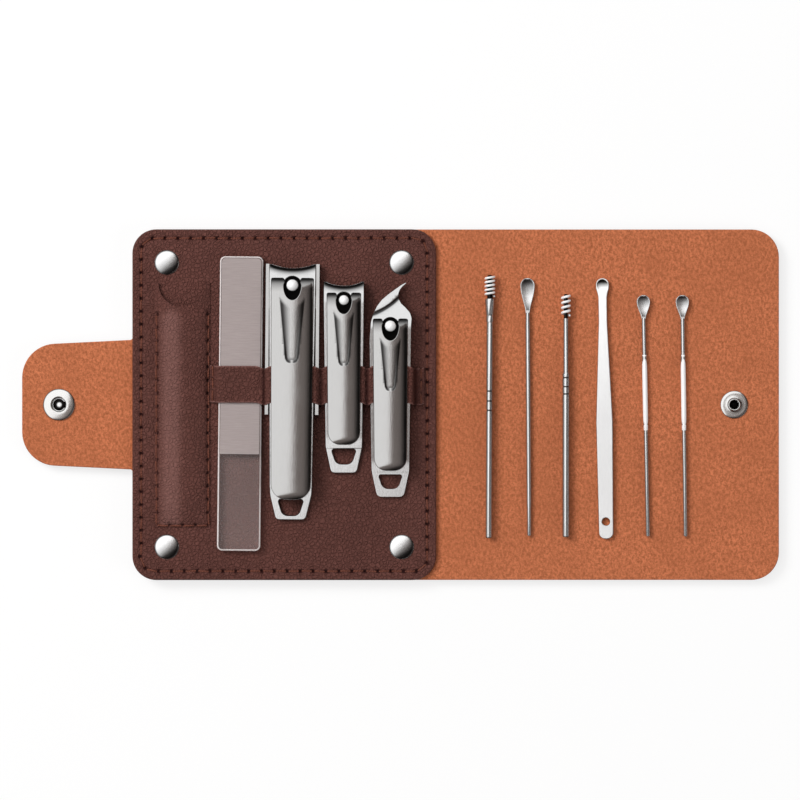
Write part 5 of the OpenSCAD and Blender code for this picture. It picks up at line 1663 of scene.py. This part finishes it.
class MANICURE_OT_stage(bpy.types.Operator):
    """A pale floor, a soft studio sky and the camera straight above the open case"""
    bl_idname = "manicure.stage"
    bl_label = "Stage"

    def execute(self, context):
        scene = context.scene
        case = scene.manicure_case
        scene.view_settings.view_transform = "Standard"
        lens = bpy.data.cameras.new("camera")
        lens.lens, lens.sensor_width = 180, 36
        lens.clip_start, lens.clip_end = 0.05, 20
        camera = bpy.data.objects.new("camera", lens)
        camera.location = (-0.16 * MM, 1.47 * MM, 1.255)
        scene.collection.objects.link(camera)
        scene.camera = camera
        self.sky(scene, case.sky_level)
        self.floor(scene)
        for name, energy, size, place in (("key", 15.0, 0.6, (-0.95, 0.6, 0.95)),
                                          ("fill", 6.0, 0.9, (1.3, -0.5, 0.62))):
            light = bpy.data.lights.new(name, "AREA")
            light.energy, light.size = energy * case.key_level, size
            lamp = bpy.data.objects.new(name, light)
            lamp.visible_glossy = False
            lamp.location = place
            aim = (Vector((0, 0, 0)) - lamp.location).to_track_quat("-Z", "Y")
            lamp.rotation_euler = aim.to_euler()
            scene.collection.objects.link(lamp)
        return {"FINISHED"}

    @staticmethod
    def sky(scene, level):
        """Bright to the upper left and dark to the lower right, with a dark horizon."""
        world = bpy.data.worlds.new("studio")
        scene.world = world
        world.use_nodes = True
        tree = world.node_tree
        tree.nodes.clear()
        kit = Kit(tree)
        look = kit.add("ShaderNodeTexCoord", out=0)
        x, y, z = (kit.add("ShaderNodeSeparateXYZ", None, look, out=k) for k in range(3))
        lean = x * -0.80 + y * 0.55
        step = lean.ease(-0.055, 0.01)
        fall = lean.ease(-0.40, -0.12, 0.06, 1.0)
        right = (lean * -1.0).ease(0.50, 0.72, 0.0, 0.40)
        ring = z.ease(0.42, 0.84, 0.09, 1.0)
        strength = ((step * 1.14 + 0.27) * fall + right) * ring * level
        tint = kit.between(step, (1.0, 0.86, 0.81), (1.0, 1.0, 1.0))
        sky = kit.add("ShaderNodeBackground", None, Color=tint, Strength=strength)
        kit.put(tree.nodes.new("ShaderNodeOutputWorld").inputs[0], sky)

    @staticmethod
    def floor(scene):
        """Plain white where it is looked at, and soft shadow round the object."""
        finish = Finish("white_floor")
        kit = finish.kit
        tree = finish.material.node_tree
        white = shade(250, 250, 250)
        finish.feed(Base_Color=white, Roughness=0.9, Specular_IOR_Level=0.1)
        seen = sum(kit.add("ShaderNodeLightPath", out=ray) for ray in (0, 3, 6))
        glow = kit.add("ShaderNodeEmission", None, Color=(1.0, 1.0, 1.0), Strength=1.0)
        mixed = kit.add("ShaderNodeMixShader", None, seen.ease(0.0, 1.0, 0.0, 0.75),
                        Val(kit, finish.shader.outputs[0]), glow)
        output = next(n for n in tree.nodes if n.type == "OUTPUT_MATERIAL")
        kit.put(output.inputs[0], mixed)
        mesh = mesh_of("floor", [(-2500, -2500, -0.2), (2500, -2500, -0.2),
                                 (2500, 2500, -0.2), (-2500, 2500, -0.2)], [(0, 1, 2, 3)])
        mesh.materials.append(finish.material)
        floor = bpy.data.objects.new("floor", mesh)
        scene.collection.objects.link(floor)


# ---------------------------------------------------------------- the panel in the sidebar

class ManicureCaseSettings(bpy.types.PropertyGroup):
    leather_tone: FloatVectorProperty(
        name="Leather", description="The leather's colour as a screen shows it, 0 to 255",
        default=(104, 65, 58), min=0, max=255, unit="NONE")
    suede_tone: FloatVectorProperty(
        name="Suede", description="The suede's colour as a screen shows it, 0 to 255",
        default=(191, 111, 73), min=0, max=255, unit="NONE")
    thread_tone: FloatVectorProperty(
        name="Thread", description="The thread's colour as a screen shows it, 0 to 255",
        default=(106, 58, 43), min=0, max=255, unit="NONE")
    grain: FloatProperty(
        name="Grain", description="Leather pebbles per millimetre",
        default=1.0, min=0.3, max=4, unit="NONE")
    stitch_gap: FloatProperty(
        name="Stitch", description="From one hole of a stitch to the other, in millimetres",
        default=3.0, min=1, max=5, unit="NONE")
    thread_width: FloatProperty(
        name="Thread width", description="The thread's thickness in millimetres",
        default=0.52, min=0.1, max=1, unit="NONE")
    sky_level: FloatProperty(
        name="Sky", description="How bright the studio sky is",
        default=1.0, min=0, max=5, unit="NONE")
    key_level: FloatProperty(
        name="Key", description="How bright the lamps are",
        default=1.0, min=0, max=5, unit="NONE")


PIECES = (MANICURE_OT_shell, MANICURE_OT_panel, MANICURE_OT_pocket, MANICURE_OT_strap,
          MANICURE_OT_stitches, MANICURE_OT_fittings, MANICURE_OT_file, MANICURE_OT_clippers,
          MANICURE_OT_picks, MANICURE_OT_stage)


class MANICURE_PT_case(bpy.types.Panel):
    """The case's settings and the steps that build it"""
    bl_idname = "MANICURE_PT_case"
    bl_label = "Manicure Case"
    bl_space_type = "VIEW_3D"
    bl_region_type = "UI"
    bl_category = "Case"

    def draw(self, context):
        case = context.scene.manicure_case
        for name in ManicureCaseSettings.__annotations__:
            self.layout.prop(case, name)
        for operator in PIECES:
            self.layout.operator(operator.bl_idname)


CLASSES = (ManicureCaseSettings, *PIECES, MANICURE_PT_case)


def register():
    for cls in CLASSES:
        bpy.utils.register_class(cls)
    bpy.types.Scene.manicure_case = PointerProperty(type=ManicureCaseSettings)


def unregister():
    del bpy.types.Scene.manicure_case
    for cls in reversed(CLASSES):
        bpy.utils.unregister_class(cls)


def main():
    register()
    finishes()
    steps = bpy.ops.manicure
    for step in (steps.shell, steps.panel, steps.pocket, steps.strap, steps.stitches,
                 steps.fittings, steps.file, steps.clippers, steps.picks, steps.stage):
        step()


if __name__ == "__main__":
    main()
